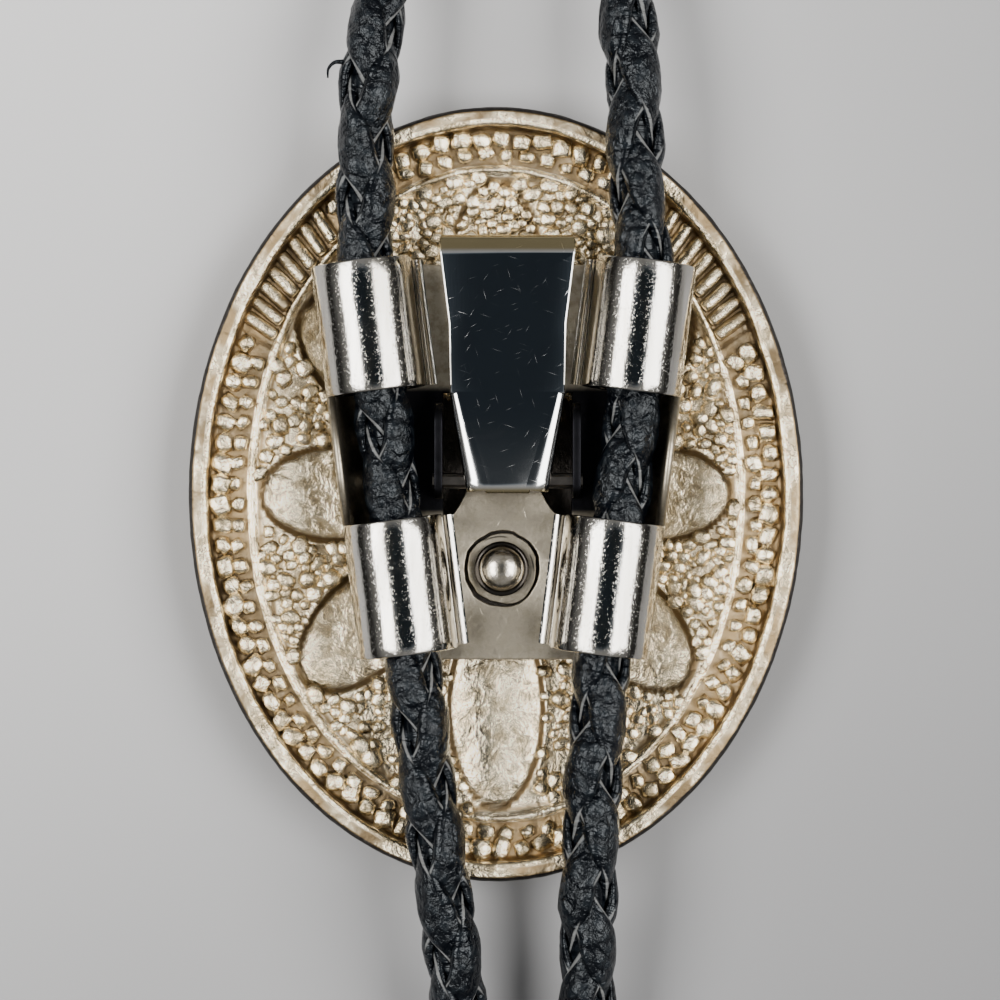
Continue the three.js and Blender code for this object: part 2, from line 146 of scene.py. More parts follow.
def finished(name, form, sharp_from=180):
    """A piece from a mesh in the making: holes closed, faces outwards, smooth but for its sharp edges."""
    open_edges = [edge for edge in form.edges if edge.is_boundary]
    if open_edges:
        bmesh.ops.holes_fill(form, edges=open_edges, sides=0)
    bmesh.ops.recalc_face_normals(form, faces=form.faces)
    for face in form.faces:
        face.smooth = True
    for edge in form.edges:
        edge.smooth = edge.calc_face_angle(0) < math.radians(sharp_from)
    mesh = bpy.data.meshes.new(name)
    form.to_mesh(mesh)
    form.free()
    piece = bpy.data.objects.new(name, mesh)
    bpy.context.scene.collection.objects.link(piece)
    return piece


def braid(name, route, first_lobe, face_turn, fine_below=1e3, coarse=0.8):
    """The cord's four laces: two wind one way and two the other, each over one and under the next."""
    middle, along = even_steps(smooth_route(route), 0.33, coarse, fine_below)
    tangent = np.gradient(middle, along, axis=0)
    tangent /= np.linalg.norm(tangent, axis=1)[:, None]
    side = np.cross((0, 0, 1), tangent)
    side /= np.linalg.norm(side, axis=1)[:, None]
    lift = np.cross(tangent, side)
    corner = np.linspace(0, 2 * math.pi, 17)
    flat = 2 / 3.4
    across = np.sign(np.sin(corner)) * np.abs(np.sin(corner)) ** flat
    through = -np.sign(np.cos(corner)) * np.abs(np.cos(corner)) ** flat
    form = bmesh.new()
    for lace in range(4):
        way = 1 if lace < 2 else -1
        chance = np.array([noise.noise(Vector((s / 7, lace * 9.1, first_lobe))) for s in along])
        twist = np.array([noise.noise(Vector((s / 13, lace * 5.3, 40 + first_lobe))) for s in along])
        drift = np.array([noise.noise(Vector((s / 60, 7.7, first_lobe))) for s in along])
        turn = 2 * math.pi * (along - first_lobe) / braid_pitch
        over = way * np.cos(2 * turn)
        azimuth = way * (turn - lace_dwell / 2 * way * np.sin(2 * turn))
        azimuth = azimuth + face_turn + (lace % 2) * math.pi + (0 if way > 0 else math.pi)
        azimuth = azimuth + 0.10 * twist + 0.2 * drift
        risen = 1 - ((1 - over) / 2) ** 1.7
        radius = lace_under + (lace_over - lace_under) * risen + 0.06 * chance
        half_width = 1.46 + 0.20 * over + 0.12 * chance
        out = np.cos(azimuth)[:, None] * lift + np.sin(azimuth)[:, None] * side
        line = middle + radius[:, None] * out
        heading = np.gradient(line, along, axis=0)
        heading /= np.linalg.norm(heading, axis=1)[:, None]
        broad = np.cross(heading, out)
        broad /= np.linalg.norm(broad, axis=1)[:, None]
        thick = np.cross(broad, heading)
        tilt = 0.22 * np.sin(2 * turn) * way + 0.25 * twist
        spread = half_width[:, None] * across[None, :]
        height = lace_thickness / 2 * through[None, :] * (1 - 0.12 * np.abs(across[None, :]) ** 3)
        height = height - 0.21 * spread ** 2 * (0.7 + 0.3 * over[:, None]) + tilt[:, None] * spread * 0.4
        rings = line[:, None, :] + spread[..., None] * broad[:, None, :]
        rings = rings + height[..., None] * thick[:, None, :]
        crease = np.array([
            noise.noise(Vector((s / 0.62, w * half / 0.95, lace * 3.7 + first_lobe)))
            + 0.6 * noise.noise(Vector((s / 1.7, w * half / 0.6, lace * 1.9)))
            for s, half in zip(along, half_width) for w in across
        ]).reshape(len(along), -1)
        rings = rings + (0.075 * crease * np.clip(through, 0, 1))[..., None] * out[:, None, :]
        corner_line = np.exp(-((np.abs(np.abs(corner - math.pi) - 1.18) / 0.26) ** 2))
        cut_edge = corner_line[None, :] * np.clip(0.75 - 0.55 * over, 0, 1)[:, None]
        sweep(form, rings, {
            "along": along[:, None] + lace * 31,
            "across": spread,
            "cut_edge": cut_edge + 0 * spread,
        })
    sideways = np.sin(corner)[None, :, None] * side[:, None, :]
    upwards = -np.cos(corner)[None, :, None] * lift[:, None, :]
    sweep(form, middle[:, None, :] + core_radius * (sideways + upwards), {"along": along[:, None]})
    return finished(name, form)


def shader_node(tree, kind, inputs=None, **settings):
    """A node with its settings, its inputs set to numbers or linked to other nodes' outputs."""
    made = tree.nodes.new(kind)
    for key, value in settings.items():
        setattr(made, key, value)
    for key, value in (inputs or {}).items():
        if isinstance(value, bpy.types.NodeSocket):
            tree.links.new(value, made.inputs[key])
        else:
            made.inputs[key].default_value = value
    return made


def new_material(name, **fixed):
    """A material whose fixed values stand on the shader's own sockets."""
    material = bpy.data.materials.new(name)
    material.use_nodes = True
    shader = material.node_tree.nodes["Principled BSDF"]
    for key, value in fixed.items():
        shader.inputs[key.replace("_", " ").title().replace("Ior", "IOR")].default_value = value
    return material, material.node_tree, shader


def reading(tree, name):
    return shader_node(tree, "ShaderNodeAttribute", attribute_name=name).outputs["Fac"]


def sum_of(tree, operation, *values):
    return shader_node(tree, "ShaderNodeMath", dict(enumerate(values)), operation=operation).outputs[0]


def eased(tree, value, low, high, start=0.0, end=1.0):
    """A value that runs from start to end while its input runs from low to high."""
    return shader_node(tree, "ShaderNodeMapRange", {
        "Value": value, "From Min": low, "From Max": high, "To Min": start, "To Max": end,
    }, interpolation_type="SMOOTHSTEP").outputs[0]


def blend_of(tree, share, first, second):
    return shader_node(tree, "ShaderNodeMix", {0: share, 6: first, 7: second}, data_type="RGBA").outputs[2]


def grain(tree, vector, scale, detail=3.0, roughness=0.55, distortion=0.0):
    return shader_node(tree, "ShaderNodeTexNoise", {
        "Vector": vector, "Scale": scale, "Detail": detail, "Roughness": roughness, "Distortion": distortion,
    }).outputs["Fac"]


leather, tree, shader = new_material(
    "braided_leather", specular_ior_level=0.28, specular_tint=(0.90, 0.96, 1.0, 1),
)
lace_place = shader_node(tree, "ShaderNodeCombineXYZ", {
    "X": reading(tree, "along"), "Y": reading(tree, "across"),
}).outputs[0]
warp = shader_node(tree, "ShaderNodeTexNoise", {
    "Vector": lace_place, "Scale": 0.9, "Detail": 2.0,
}).outputs["Color"]
warped = shader_node(tree, "ShaderNodeVectorMath", {
    0: warp, 1: (1.3, 1.3, 0), 2: lace_place,
}, operation="MULTIPLY_ADD").outputs[0]
stretched = shader_node(tree, "ShaderNodeMapping", {"Vector": warped, "Scale": (1.0, 0.7, 1.0)}).outputs[0]
wrinkle = grain(tree, stretched, 1.0, 4, 0.55)
folds = shader_node(tree, "ShaderNodeTexVoronoi", {
    "Vector": stretched, "Scale": 1.15,
}, voronoi_dimensions="2D", feature="F1").outputs["Distance"]
pores = grain(tree, lace_place, 7.0, 2)
patch = grain(tree, lace_place, 0.5, 2)
# The skin is a little lighter on the middles of the fold cells and darker in the creases between them.
fold_middles = eased(tree, folds, 0.5, 0.15)
edge = eased(tree, sum_of(tree, "MULTIPLY_ADD", patch, 0.6, reading(tree, "cut_edge")), 0.72, 1.02)
skin = blend_of(tree, fold_middles, (0.0012, 0.0018, 0.0032, 1), (0.0065, 0.0085, 0.011, 1))
tree.links.new(blend_of(tree, edge, skin, (0.15, 0.152, 0.15, 1)), shader.inputs["Base Color"])
dull = eased(tree, patch, 0.40, 0.62, 0.13, 0.26)
tree.links.new(sum_of(tree, "MULTIPLY_ADD", edge, 0.25, dull), shader.inputs["Roughness"])
lumps = sum_of(tree, "MULTIPLY_ADD", pores, 0.10, sum_of(tree, "MULTIPLY_ADD", folds, -0.42, wrinkle))
tree.links.new(shader_node(tree, "ShaderNodeBump", {
    "Height": lumps, "Distance": 0.46 * mm, "Strength": 1.0,
}).outputs[0], shader.inputs["Normal"])

neck_loop = braid("neck_cord", neck_route, 8.5, 0.72, fine_below=43.0)
left_tail = braid("left_tail_cord", left_tail_route, 5.5, -0.72)
right_tail = braid("right_tail_cord", right_tail_route, 9.3, 0.72)

fibre_route = [(-11.9, 33.7, 8.0), (-12.6, 33.6, 8.3), (-13.05, 33.1, 8.4), (-13.1, 32.4, 8.3)]
fibre = smooth_route(fibre_route)[::10]
way = np.gradient(fibre, axis=0)
level = np.stack([way[:, 1], -way[:, 0]], axis=1)
level /= np.linalg.norm(level, axis=1)[:, None]
corner = np.linspace(0, 2 * math.pi, 9)
thin = np.linspace(0.2, 0.07, len(fibre))[:, None]
form = bmesh.new()
sweep(form, np.stack([
    fibre[:, :1] + thin * np.cos(corner) * level[:, :1],
    fibre[:, 1:2] + thin * np.cos(corner) * level[:, 1:],
    fibre[:, 2:] + thin * np.sin(corner),
], axis=2), {"along": np.arange(len(fibre))[:, None] / 4})
loose_fibre = finished("loose_fibre", form)

for cord, node in (
    (neck_loop, "cord_neck_loop"), (left_tail, "cord_tail_left"), (right_tail, "cord_tail_right"),
    (loose_fibre, "cord_neck_loop"),
):
    cord.data.materials.append(leather)
    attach(cord, "slide")
    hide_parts(node)


# Cord tips. Two turned and plated metal tips, each crimped over an end of the cord:
# a collar with two grooves at the mouth, a slim taper and a small ball at the end.
tip_length = 33.0
tip_radius = 3.3
tip_rows = [
    (0.0, 0.0), (0.003, 0.2), (0.012, 0.36), (0.03, 0.49), (0.055, 0.545), (0.08, 0.5), (0.098, 0.4),
    (0.108, 0.36), (0.113, 0.41), (0.122, 0.44), (0.131, 0.42), (0.138, 0.41),
    (0.3, 0.545), (0.5, 0.675), (0.7, 0.80), (0.775, 0.85),
    (0.785, 0.86), (0.79, 0.83), (0.805, 0.83), (0.812, 0.87),
    (0.822, 0.97), (0.832, 1.0), (0.862, 1.0), (0.868, 0.965), (0.88, 0.965), (0.886, 1.0),
    (0.925, 1.0), (0.931, 0.965), (0.943, 0.965), (0.949, 1.0),
    (0.985, 1.0), (0.995, 0.98), (1.0, 0.94), (1.0, 0.79), (0.985, 0.75), (0.86, 0.74), (0.86, 0.0),
]
tip_tilt = math.atan2((1 - 0.54) * tip_radius, (0.83 - 0.06) * tip_length)
tip_mouth_height = tip_radius / math.cos(tip_tilt) + 0.17 * tip_length * math.sin(tip_tilt)


def spun(profile, steps, axis=(0, 0, 1)):
    """A turned form: its profile of (radius, height) pairs in mm, spun about Z."""
    form = bmesh.new()
    points = [form.verts.new((radius * mm, 0, height * mm)) for radius, height in profile]
    edges = [form.edges.new(pair) for pair in zip(points, points[1:])]
    bmesh.ops.spin(
        form, geom=points + edges, cent=(0, 0, 0), axis=axis, dvec=(0, 0, 0),
        angle=2 * math.pi, steps=steps, use_merge=True, use_duplicate=False,
    )
    bmesh.ops.remove_doubles(form, verts=form.verts, dist=1e-3 * mm)
    return form


def hairline_scratches():
    """A node group of fine scratches: lines where they lie, haze where the surface is dulled by them."""
    group = bpy.data.node_groups.new("hairline_scratches", "ShaderNodeTree")
    group.interface.new_socket("Vector", in_out="INPUT", socket_type="NodeSocketVector")
    group.interface.new_socket("Scale", in_out="INPUT", socket_type="NodeSocketFloat")
    group.interface.new_socket("Lines", in_out="OUTPUT", socket_type="NodeSocketFloat")
    group.interface.new_socket("Haze", in_out="OUTPUT", socket_type="NodeSocketFloat")
    entry = group.nodes.new("NodeGroupInput")
    leave = group.nodes.new("NodeGroupOutput")
    scaled = shader_node(group, "ShaderNodeVectorMath", {
        0: entry.outputs["Vector"], "Scale": entry.outputs["Scale"],
    }, operation="SCALE").outputs[0]
    lines = None
    for turn, across, along, share in (
        (0.3, 0.24, 0.010, 0.40), (-0.6, 0.28, 0.012, 0.45), (1.25, 0.24, 0.009, 0.35),
        (1.9, 0.27, 0.013, 0.45), (-1.1, 0.22, 0.016, 0.5),
    ):
        laid = shader_node(group, "ShaderNodeMapping", {
            "Vector": scaled, "Rotation": (0, 0, turn), "Scale": (1 / across, 1 / along, 1.0),
        }, vector_type="TEXTURE").outputs[0]
        cell = shader_node(group, "ShaderNodeTexVoronoi", {
            "Vector": laid, "Scale": 1.0,
        }, voronoi_dimensions="2D", feature="F1")
        depth = shader_node(group, "ShaderNodeSeparateColor", {0: cell.outputs["Color"]}).outputs[0]
        line = sum_of(
            group, "MULTIPLY", eased(group, cell.outputs["Distance"], 0.0, 0.075, 1.0, 0.0),
            eased(group, depth, share, 1.0),
        )
        lines = line if lines is None else sum_of(group, "MAXIMUM", lines, line)
    streak = shader_node(group, "ShaderNodeMapping", {
        "Vector": scaled, "Scale": (0.05, 0.006, 0.05),
    }).outputs[0]
    haze = grain(group, streak, 1.0, 4, 0.6)
    group.links.new(lines, leave.inputs["Lines"])
    group.links.new(haze, leave.inputs["Haze"])
    return group


scratches = hairline_scratches()


def scratched(tree, scale):
    made = shader_node(tree, "ShaderNodeGroup", node_tree=scratches)
    where = shader_node(tree, "ShaderNodeTexCoord").outputs["Object"]
    tree.links.new(where, made.inputs["Vector"])
    made.inputs["Scale"].default_value = scale
    return made.outputs["Lines"], made.outputs["Haze"], where


plated, tree, shader = new_material("plated_tip", metallic=1.0)
lines, haze, where = scratched(tree, 14000)
tree.links.new(blend_of(
    tree, eased(tree, haze, 0.4, 0.7), (0.72, 0.71, 0.69, 1), (0.60, 0.58, 0.55, 1),
), shader.inputs["Base Color"])
tree.links.new(sum_of(
    tree, "MULTIPLY_ADD", lines, 0.25, eased(tree, haze, 0.3, 0.7, 0.10, 0.2),
), shader.inputs["Roughness"])

for side, tail, route in (("left", left_tail, left_tail_route), ("right", right_tail, right_tail_route)):
    form = spun([(radius * tip_radius, (along - 1) * tip_length) for along, radius in tip_rows], 48)
    mouth = Vector((route[-1][0], route[-1][1] - 0.3, tip_mouth_height)) * mm
    placed = Matrix.Translation(mouth) @ Matrix.Rotation(tip_tilt - math.pi / 2, 4, "X")
    bmesh.ops.transform(form, matrix=placed, verts=form.verts)
    tip = finished(side + "_cord_tip", form)
    tip.data.materials.append(plated)
    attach(tip, "slide")
    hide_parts("tip_" + side)
    path = smooth_route(route) * mm


# Medallion. One casting of white metal, 48.6 by 61.2 mm, thin and hollow at the back:
# a rim, a channel of beads with two fluted bars, a ridge, and a field with a sunk eight-petal rosette.
# The front is the same relief the other way round, and a small boss in the back carries the clip.
half_width = 24.3
half_height = 30.6
cast_wall = 1.5
facet_radius = 3.4
facet_height = 0.9
dome_rise = 2.0
border_outer = 22.8
border_width = 3.2
border_inner = border_outer - border_width
field_radius = border_inner - 0.6
border_floor = 3.85
rim_back = 5.2
ridge_relief = 0.4
petal_count = 8
petal_width = 7.6
bar_angles = (math.radians(46.5), math.radians(133.5))
bar_half_length = 5.5


def front_at(radius):
    return facet_height + dome_rise * (radius / half_width) ** 2


def back_at(radius):
    return front_at(radius) + cast_wall


def edge_radius(angle):
    return half_width * half_height / np.hypot(half_height * np.cos(angle), half_width * np.sin(angle))


def to_oval(radius, angle):
    """How far from the middle a point of the round lathe form lies on the oval."""
    return radius + (edge_radius(angle) - half_width) * np.minimum(1, radius / field_radius)


def petal_edge(x, y, grow=0.0):
    """Distance in mm outside the nearest petal's edge, below 0 within it, and which petal it is."""
    nearest = np.full(np.shape(x), 99.0)
    which = np.zeros(np.shape(x), int)
    for i in range(petal_count):
        angle = i / petal_count * 2 * math.pi
        reach = edge_radius(angle) - (half_width - field_radius)
        middle = reach * (0.36 + 0.985) / 2
        long_half = reach * (0.985 - 0.36) / 2 + grow
        short_half = petal_width / 2 + grow
        u = x * math.cos(angle) + y * math.sin(angle) - middle
        v = y * math.cos(angle) - x * math.sin(angle)
        form_value = (u / long_half) ** 2 + (v / short_half) ** 2 - 1
        slope = 2 * np.sqrt(u ** 2 / long_half ** 4 + v ** 2 / short_half ** 4) + 1e-6
        distance = form_value / slope
        which = np.where(distance < nearest, i, which)
        nearest = np.minimum(distance, nearest)
    return nearest, which


def noise_over(points, size, seed=0.0):
    return np.array([noise.noise(Vector((x / size, y / size, z / size + seed))) for x, y, z in points])


def bar_share(x, y):
    """1 within a fluted bar, 0 well clear of both."""
    share = np.zeros(np.shape(x))
    angle = np.arctan2(y, x)
    for middle in bar_angles:
        off = np.abs(angle - middle) * (edge_radius(middle) - 3.1)
        share = np.maximum(share, np.clip((bar_half_length + 0.25 - off) / 0.25, 0, 1))
    return share


front_profile = [(0, 0), (1.7, 0), (3.3, 0), (3.42, 0.03), (3.6, 0.3), (3.85, front_at(3.4))]
front_profile += [(r, front_at(r)) for r in np.linspace(4.3, field_radius - 0.2, 34)]
front_profile += [
    (field_radius, front_at(field_radius) - 0.05), (field_radius + 0.12, front_at(field_radius) - 0.3),
    (field_radius + 0.3, front_at(field_radius) - ridge_relief),
    (border_inner - 0.12, front_at(border_inner) - 0.3), (border_inner, front_at(border_inner)),
    (border_inner + 0.8, front_at(border_inner + 0.8)), (border_inner + 1.6, front_at(border_inner + 1.6)),
    (border_inner + 2.4, front_at(border_inner + 2.4)), (border_outer, front_at(border_outer)),
    (border_outer + 0.15, front_at(border_outer) - 0.3), (border_outer + 0.35, front_at(border_outer) - 0.4),
    (half_width - 0.5, front_at(half_width) - 0.4), (half_width - 0.2, front_at(half_width) - 0.33),
    (half_width - 0.05, front_at(half_width) - 0.18), (half_width, front_at(half_width) + 0.1),
]
back_profile = [
    (half_width, rim_back - 0.9), (half_width - 0.02, rim_back - 0.5), (half_width - 0.1, rim_back - 0.25),
    (half_width - 0.26, rim_back - 0.08), (half_width - 0.5, rim_back), (half_width - 0.75, rim_back - 0.01),
    (half_width - 1.0, rim_back - 0.01),
    (border_outer + 0.22, rim_back), (border_outer + 0.06, rim_back - 0.05),
    (border_outer - 0.04, rim_back - 0.2), (border_outer - 0.1, rim_back - 0.6),
    (border_outer - 0.16, rim_back - 1.0), (border_outer - 0.3, border_floor + 0.08),
]
back_profile += [(r, border_floor) for r in np.linspace(border_outer - 0.5, border_inner + 0.15, 10)]
back_profile += [
    (border_inner, border_floor + 0.06), (border_inner - 0.1, back_at(field_radius) + ridge_relief - 0.04),
    (border_inner - 0.25, back_at(field_radius) + ridge_relief),
    (border_inner - 0.4, back_at(field_radius) + ridge_relief - 0.03),
    (field_radius + 0.02, back_at(field_radius) + 0.1),
]
back_profile += [(r, back_at(r)) for r in np.linspace(field_radius - 0.2, 0.6, 56)] + [(0, back_at(0))]
form = spun(front_profile + back_profile, 680)
shell = finished("medallion_shell", form)
count = len(shell.data.vertices)
points = np.zeros(count * 3)
shell.data.vertices.foreach_get("co", points)
points = points.reshape(-1, 3) / mm
radius = np.hypot(points[:, 0], points[:, 1])
angle = np.arctan2(points[:, 1], points[:, 0])
on_back = points[:, 2] > front_at(radius) + cast_wall / 2
oval = to_oval(radius, angle)
points[:, 0] = oval * np.cos(angle)
points[:, 1] = oval * np.sin(angle)
x, y = points[:, 0], points[:, 1]
in_field = radius < field_radius
distance, which = petal_edge(x, y)
inside = np.clip(-distance / 3.4, 0, 1)
petal_depth = 0.5 * (1 - np.exp(np.minimum(distance, 0) / 0.2)) + 0.5 * np.sqrt(1 - (1 - inside) ** 2)
petal_depth = np.where(distance < 0, petal_depth, 0)
lip = np.exp(-((distance - 0.22) / 0.2) ** 2)
rolling = noise_over(points, 3.1)
pitted = noise_over(points, 0.85, 5.0)
fine = noise_over(points, 0.36, 11.0)
vein = np.abs(noise_over(points, 2.2, 23.0))
ground = in_field & (distance > 0)
back_relief = (
    -0.7 * petal_depth * in_field + 0.2 * lip * in_field
    + 0.10 * rolling * in_field + 0.055 * pitted + 0.03 * fine
    - 0.10 * np.clip(1 - vein / 0.06, 0, 1) * in_field * (distance < 0)
)
in_channel = (radius < border_outer - 0.2) & (radius > border_inner + 0.1)
bar_floor = bar_share(x, y) * in_channel
back_relief = back_relief - 0.3 * bar_floor - 0.05 * in_channel * np.abs(rolling)
rim_land = (radius > border_outer) & (points[:, 2] > rim_back - 0.3)
back_relief = back_relief - 0.03 * rim_land * (1 + rolling)
front_relief = (0.75 * petal_depth - 0.12 * lip) * in_field - 0.15 * bar_floor
fades = np.clip((radius - facet_radius) / 1.2, 0, 1)
points[:, 2] += np.where(on_back, back_relief, -front_relief * fades)
wobble = noise_over(points, 2.6, 31.0)
near_border = np.exp(-((radius - border_outer) / 0.5) ** 2) + np.exp(-((radius - border_inner) / 0.6) ** 2)
push = 0.10 * wobble * near_border * on_back
points[:, 0] += push * np.cos(angle)
points[:, 1] += push * np.sin(angle)
outer_side = np.clip((radius - half_width + 0.6) / 0.5, 0, 1)
points[:, 0] -= 0.04 * (1 + pitted) * outer_side * np.cos(angle)
points[:, 1] -= 0.04 * (1 + pitted) * outer_side * np.sin(angle)
points[:, 2] = np.maximum(points[:, 2], 0)
shell.data.vertices.foreach_set("co", (points * mm).ravel())
recess = np.where(
    on_back,
    0.85 * in_channel
    + 0.95 * np.exp(-(np.minimum(distance + 0.12, 0) / 0.24) ** 2) * (distance < 0.1) * in_field
    + 0.26 * ground + 0.16 * in_field
    + 0.92 * rim_land * (radius > border_outer + 0.3) * (0.6 + 0.9 * rolling)
    + 0.7 * ((radius > border_outer - 0.35) & (points[:, 2] < rim_back - 0.5))
    + 0.5 * np.exp(-((radius - field_radius + 0.1) / 0.25) ** 2),
    0.75 * in_channel + 0.5 * ground + 0.5 * np.exp(-(distance / 0.3) ** 2) * in_field,
)
# Painted shade: the back under the lever and the upper part of the rim's outer side get a recess value past
# 1, which the metal paints near black.
under_lever = (np.abs(x - 0.9) < 5.6) & (y > -2.2) & (y < 7.6)
rim_side_painted_shade = (radius > half_width - 0.30) * np.clip((points[:, 2] - 3.6 + 0.4 * pitted) / 0.8, 0, 1)
painted_shade = 1.6 * np.maximum(rim_side_painted_shade, under_lever & on_back)
shell.data.attributes.new("recess", "FLOAT", "POINT").data.foreach_set(
    "value", np.maximum(recess.clip(0, 1), painted_shade),
)


def cast_white_metal():
    """Cast white metal: bright on its high places, tan to brown where the tarnish stays, and near black as
    painted shade where the recess value passes 1.
    """
    material, tree, shader = new_material("cast_white_metal", metallic=1.0)
    where = shader_node(tree, "ShaderNodeTexCoord").outputs["Object"]
    speckle = grain(tree, where, 2600, 5, 0.65)
    mottle = grain(tree, where, 700, 4, 0.6, 0.4)
    cloud = grain(tree, where, 130, 3, 0.5)
    low = sum_of(tree, "MULTIPLY_ADD", sum_of(tree, "SUBTRACT", mottle, 0.5), 0.55, reading(tree, "recess"))
    tarnish = eased(tree, low, 0.28, 0.9)
    bright = blend_of(tree, eased(tree, mottle, 0.40, 0.64), (0.90, 0.78, 0.56, 1), (0.46, 0.375, 0.24, 1))
    brown = blend_of(tree, eased(tree, cloud, 0.4, 0.62), (0.15, 0.108, 0.06, 1), (0.33, 0.235, 0.125, 1))
    base = blend_of(tree, tarnish, bright, brown)
    # Painted shade: past a recess value of 1 the colour turns near black.
    base = blend_of(tree, eased(tree, low, 1.0, 1.35), base, (0.045, 0.04, 0.036, 1))
    stain_place = shader_node(tree, "ShaderNodeVectorMath", {
        0: where, 1: (-13.8 * mm, -14.4 * mm, 4.2 * mm),
    }, operation="DISTANCE").outputs["Value"]
    ragged = sum_of(tree, "MULTIPLY_ADD", mottle, 4.5 * mm, stain_place)
    stain = eased(tree, ragged, 2.6 * mm, 4.6 * mm, 0.65, 0.0)
    base = blend_of(tree, stain, base, (0.42, 0.29, 0.10, 1))
    tree.links.new(base, shader.inputs["Base Color"])
    rough = sum_of(tree, "MULTIPLY_ADD", mottle, 0.20, 0.10)
    tree.links.new(sum_of(tree, "MULTIPLY_ADD", tarnish, 0.24, rough), shader.inputs["Roughness"])
    height = sum_of(tree, "MULTIPLY_ADD", speckle, 0.35, mottle)
    tree.links.new(shader_node(tree, "ShaderNodeBump", {
        "Height": height, "Distance": 0.26 * mm, "Strength": 0.9,
    }).outputs[0], shader.inputs["Normal"])
    return material


cast_metal = cast_white_metal()


def cast_piece(piece):
    piece.data.materials.append(cast_metal)
    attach(piece, "slide")
    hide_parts("medallion")


cast_piece(shell)


# Beads. Two staggered rows of rough blocks stand in the border's channel, and the same rows on the front.
# They are part of the casting, and each is a small rounded block sunk into the channel's floor.
bead_pitch = 1.62


def heap(name, blocks, squareness):
    """One mesh of rounded blocks, no two alike, each given as (x, y, z, half sizes, turn, way).
    The way is 1 for a block on the back and -1 on the front. A block's foot counts as a recess."""
    form = bmesh.new()
    bmesh.ops.create_icosphere(form, subdivisions=2, radius=1.0)
    directions = np.array([vertex.co.normalized() for vertex in form.verts])
    corners = np.array([[vertex.index for vertex in face.verts] for face in form.faces])
    form.free()
    boxed = np.sign(directions) * np.abs(directions) ** squareness
    dice = np.random.default_rng(len(blocks))
    points = []
    for x, y, z, halves, turn, way in blocks:
        shift = Vector((dice.uniform(0, 90), 0, 0))
        swell = [1 + 0.34 * noise.noise(Vector(direction) * 1.7 + shift) for direction in directions]
        turned = Matrix.Rotation(turn, 3, "Z") @ Matrix.Rotation(dice.uniform(-0.25, 0.25), 3, "X")
        block = boxed * np.array(swell)[:, None] * halves
        points.append(block @ np.array(turned).T + (x, y, z))
    faces = [corners + i * len(directions) for i in range(len(blocks))]
    mesh = bpy.data.meshes.new(name)
    mesh.from_pydata(np.concatenate(points) * mm, [], np.concatenate(faces).tolist())
    foot = np.concatenate([np.clip(0.62 - 1.15 * block[-1] * directions[:, 2], 0, 1) for block in blocks])
    mesh.attributes.new("recess", "FLOAT", "POINT").data.foreach_set("value", foot)
    mesh.polygons.foreach_set("use_smooth", [True] * len(mesh.polygons))
    piece = bpy.data.objects.new(name, mesh)
    bpy.context.scene.collection.objects.link(piece)
    return piece


def oval_places(radius, pitch, shift):
    """Even places along an oval line of the casting, as (x, y, angle)."""
    angles = np.linspace(0, 2 * math.pi, 2000)
    reach = to_oval(radius, angles)
    line = np.stack([reach * np.cos(angles), reach * np.sin(angles)], axis=1)
    along = np.concatenate([[0], np.cumsum(np.linalg.norm(np.diff(line, axis=0), axis=1))])
    number = round(along[-1] / pitch)
    for i in range(number):
        at = (i + shift) / number * along[-1]
        yield tuple(float(np.interp(at, along, values)) for values in (line[:, 0], line[:, 1], angles))


chance = random.Random(7)
blocks = []
for row_radius, shift, halves in (
    (border_outer - 1.06, 0.0, (0.80, 0.80, 0.68)), (border_inner + 0.94, 0.5, (0.58, 0.64, 0.54)),
):
    for x, y, angle in oval_places(row_radius, bead_pitch, shift):
        if bar_share(np.array(x), np.array(y)) > 0:
            continue
        halves_here = [half * chance.uniform(0.8, 1.2) for half in halves]
        off = chance.uniform(-0.16, 0.16)
        spot = (x + off * math.cos(angle), y + off * math.sin(angle))
        blocks.append((*spot, border_floor + 0.06, halves_here, angle + chance.uniform(-0.4, 0.4), 1))
        blocks.append((x, y, front_at(row_radius) + 0.14, [half * 0.88 for half in halves], angle, -1))
cast_piece(heap("border_beads", blocks, 0.64))

# Fluted bars. At the upper left and upper right a bar of eight half-round ribs crosses the channel,
# also part of the casting, and repeated on the front.
form = bmesh.new()
recess_layer = float_layer(form, "recess")
for middle in bar_angles:
    reach = edge_radius(middle) - 3.1
    for i in range(8):
        turn = middle + (i - 3.5) * 1.3 / reach
        spot = edge_radius(turn) - 3.1
        for height, way in ((border_floor - 0.3, 1), (front_at(border_outer) - 0.15, -1)):
            rib = bmesh.ops.create_cone(
                form, cap_ends=True, segments=20, radius1=0.56 * mm, radius2=0.56 * mm, depth=2.9 * mm,
            )["verts"]
            laid = (
                Matrix.Translation(Vector((spot * math.cos(turn), spot * math.sin(turn), height)) * mm)
                @ Matrix.Rotation(turn, 4, "Z") @ Matrix.Diagonal((1, 1, 1.15, 1))
                @ Matrix.Rotation(math.pi / 2, 4, "Y")
            )
            bmesh.ops.transform(form, matrix=laid, verts=rib)
            for vertex in rib:
                vertex[recess_layer] = 0.85 - 0.42 * way * (vertex.co.z / mm - height) / 0.62
bmesh.ops.bevel(
    form, geom=[edge for edge in form.edges if edge.calc_face_angle(0) > 1.2], offset=0.3 * mm,
    segments=4, profile=0.5, affect="EDGES", material=-1,
)
bmesh.ops.subdivide_edges(
    form, edges=[edge for edge in form.edges if edge.calc_length() > 2 * mm], cuts=7, use_grid_fill=True,
)
for vertex in form.verts:
    bump = noise.noise(vertex.co / (0.9 * mm))
    vertex.co.z += 0.05 * mm * bump
cast_piece(finished("fluted_bars", form))

# Nuggets. The field's ground is cast as a heap of small pebbles, thick at the top between the cords
# and at the lower left and right, and thin elsewhere. Each is a rounded lump of the same casting.


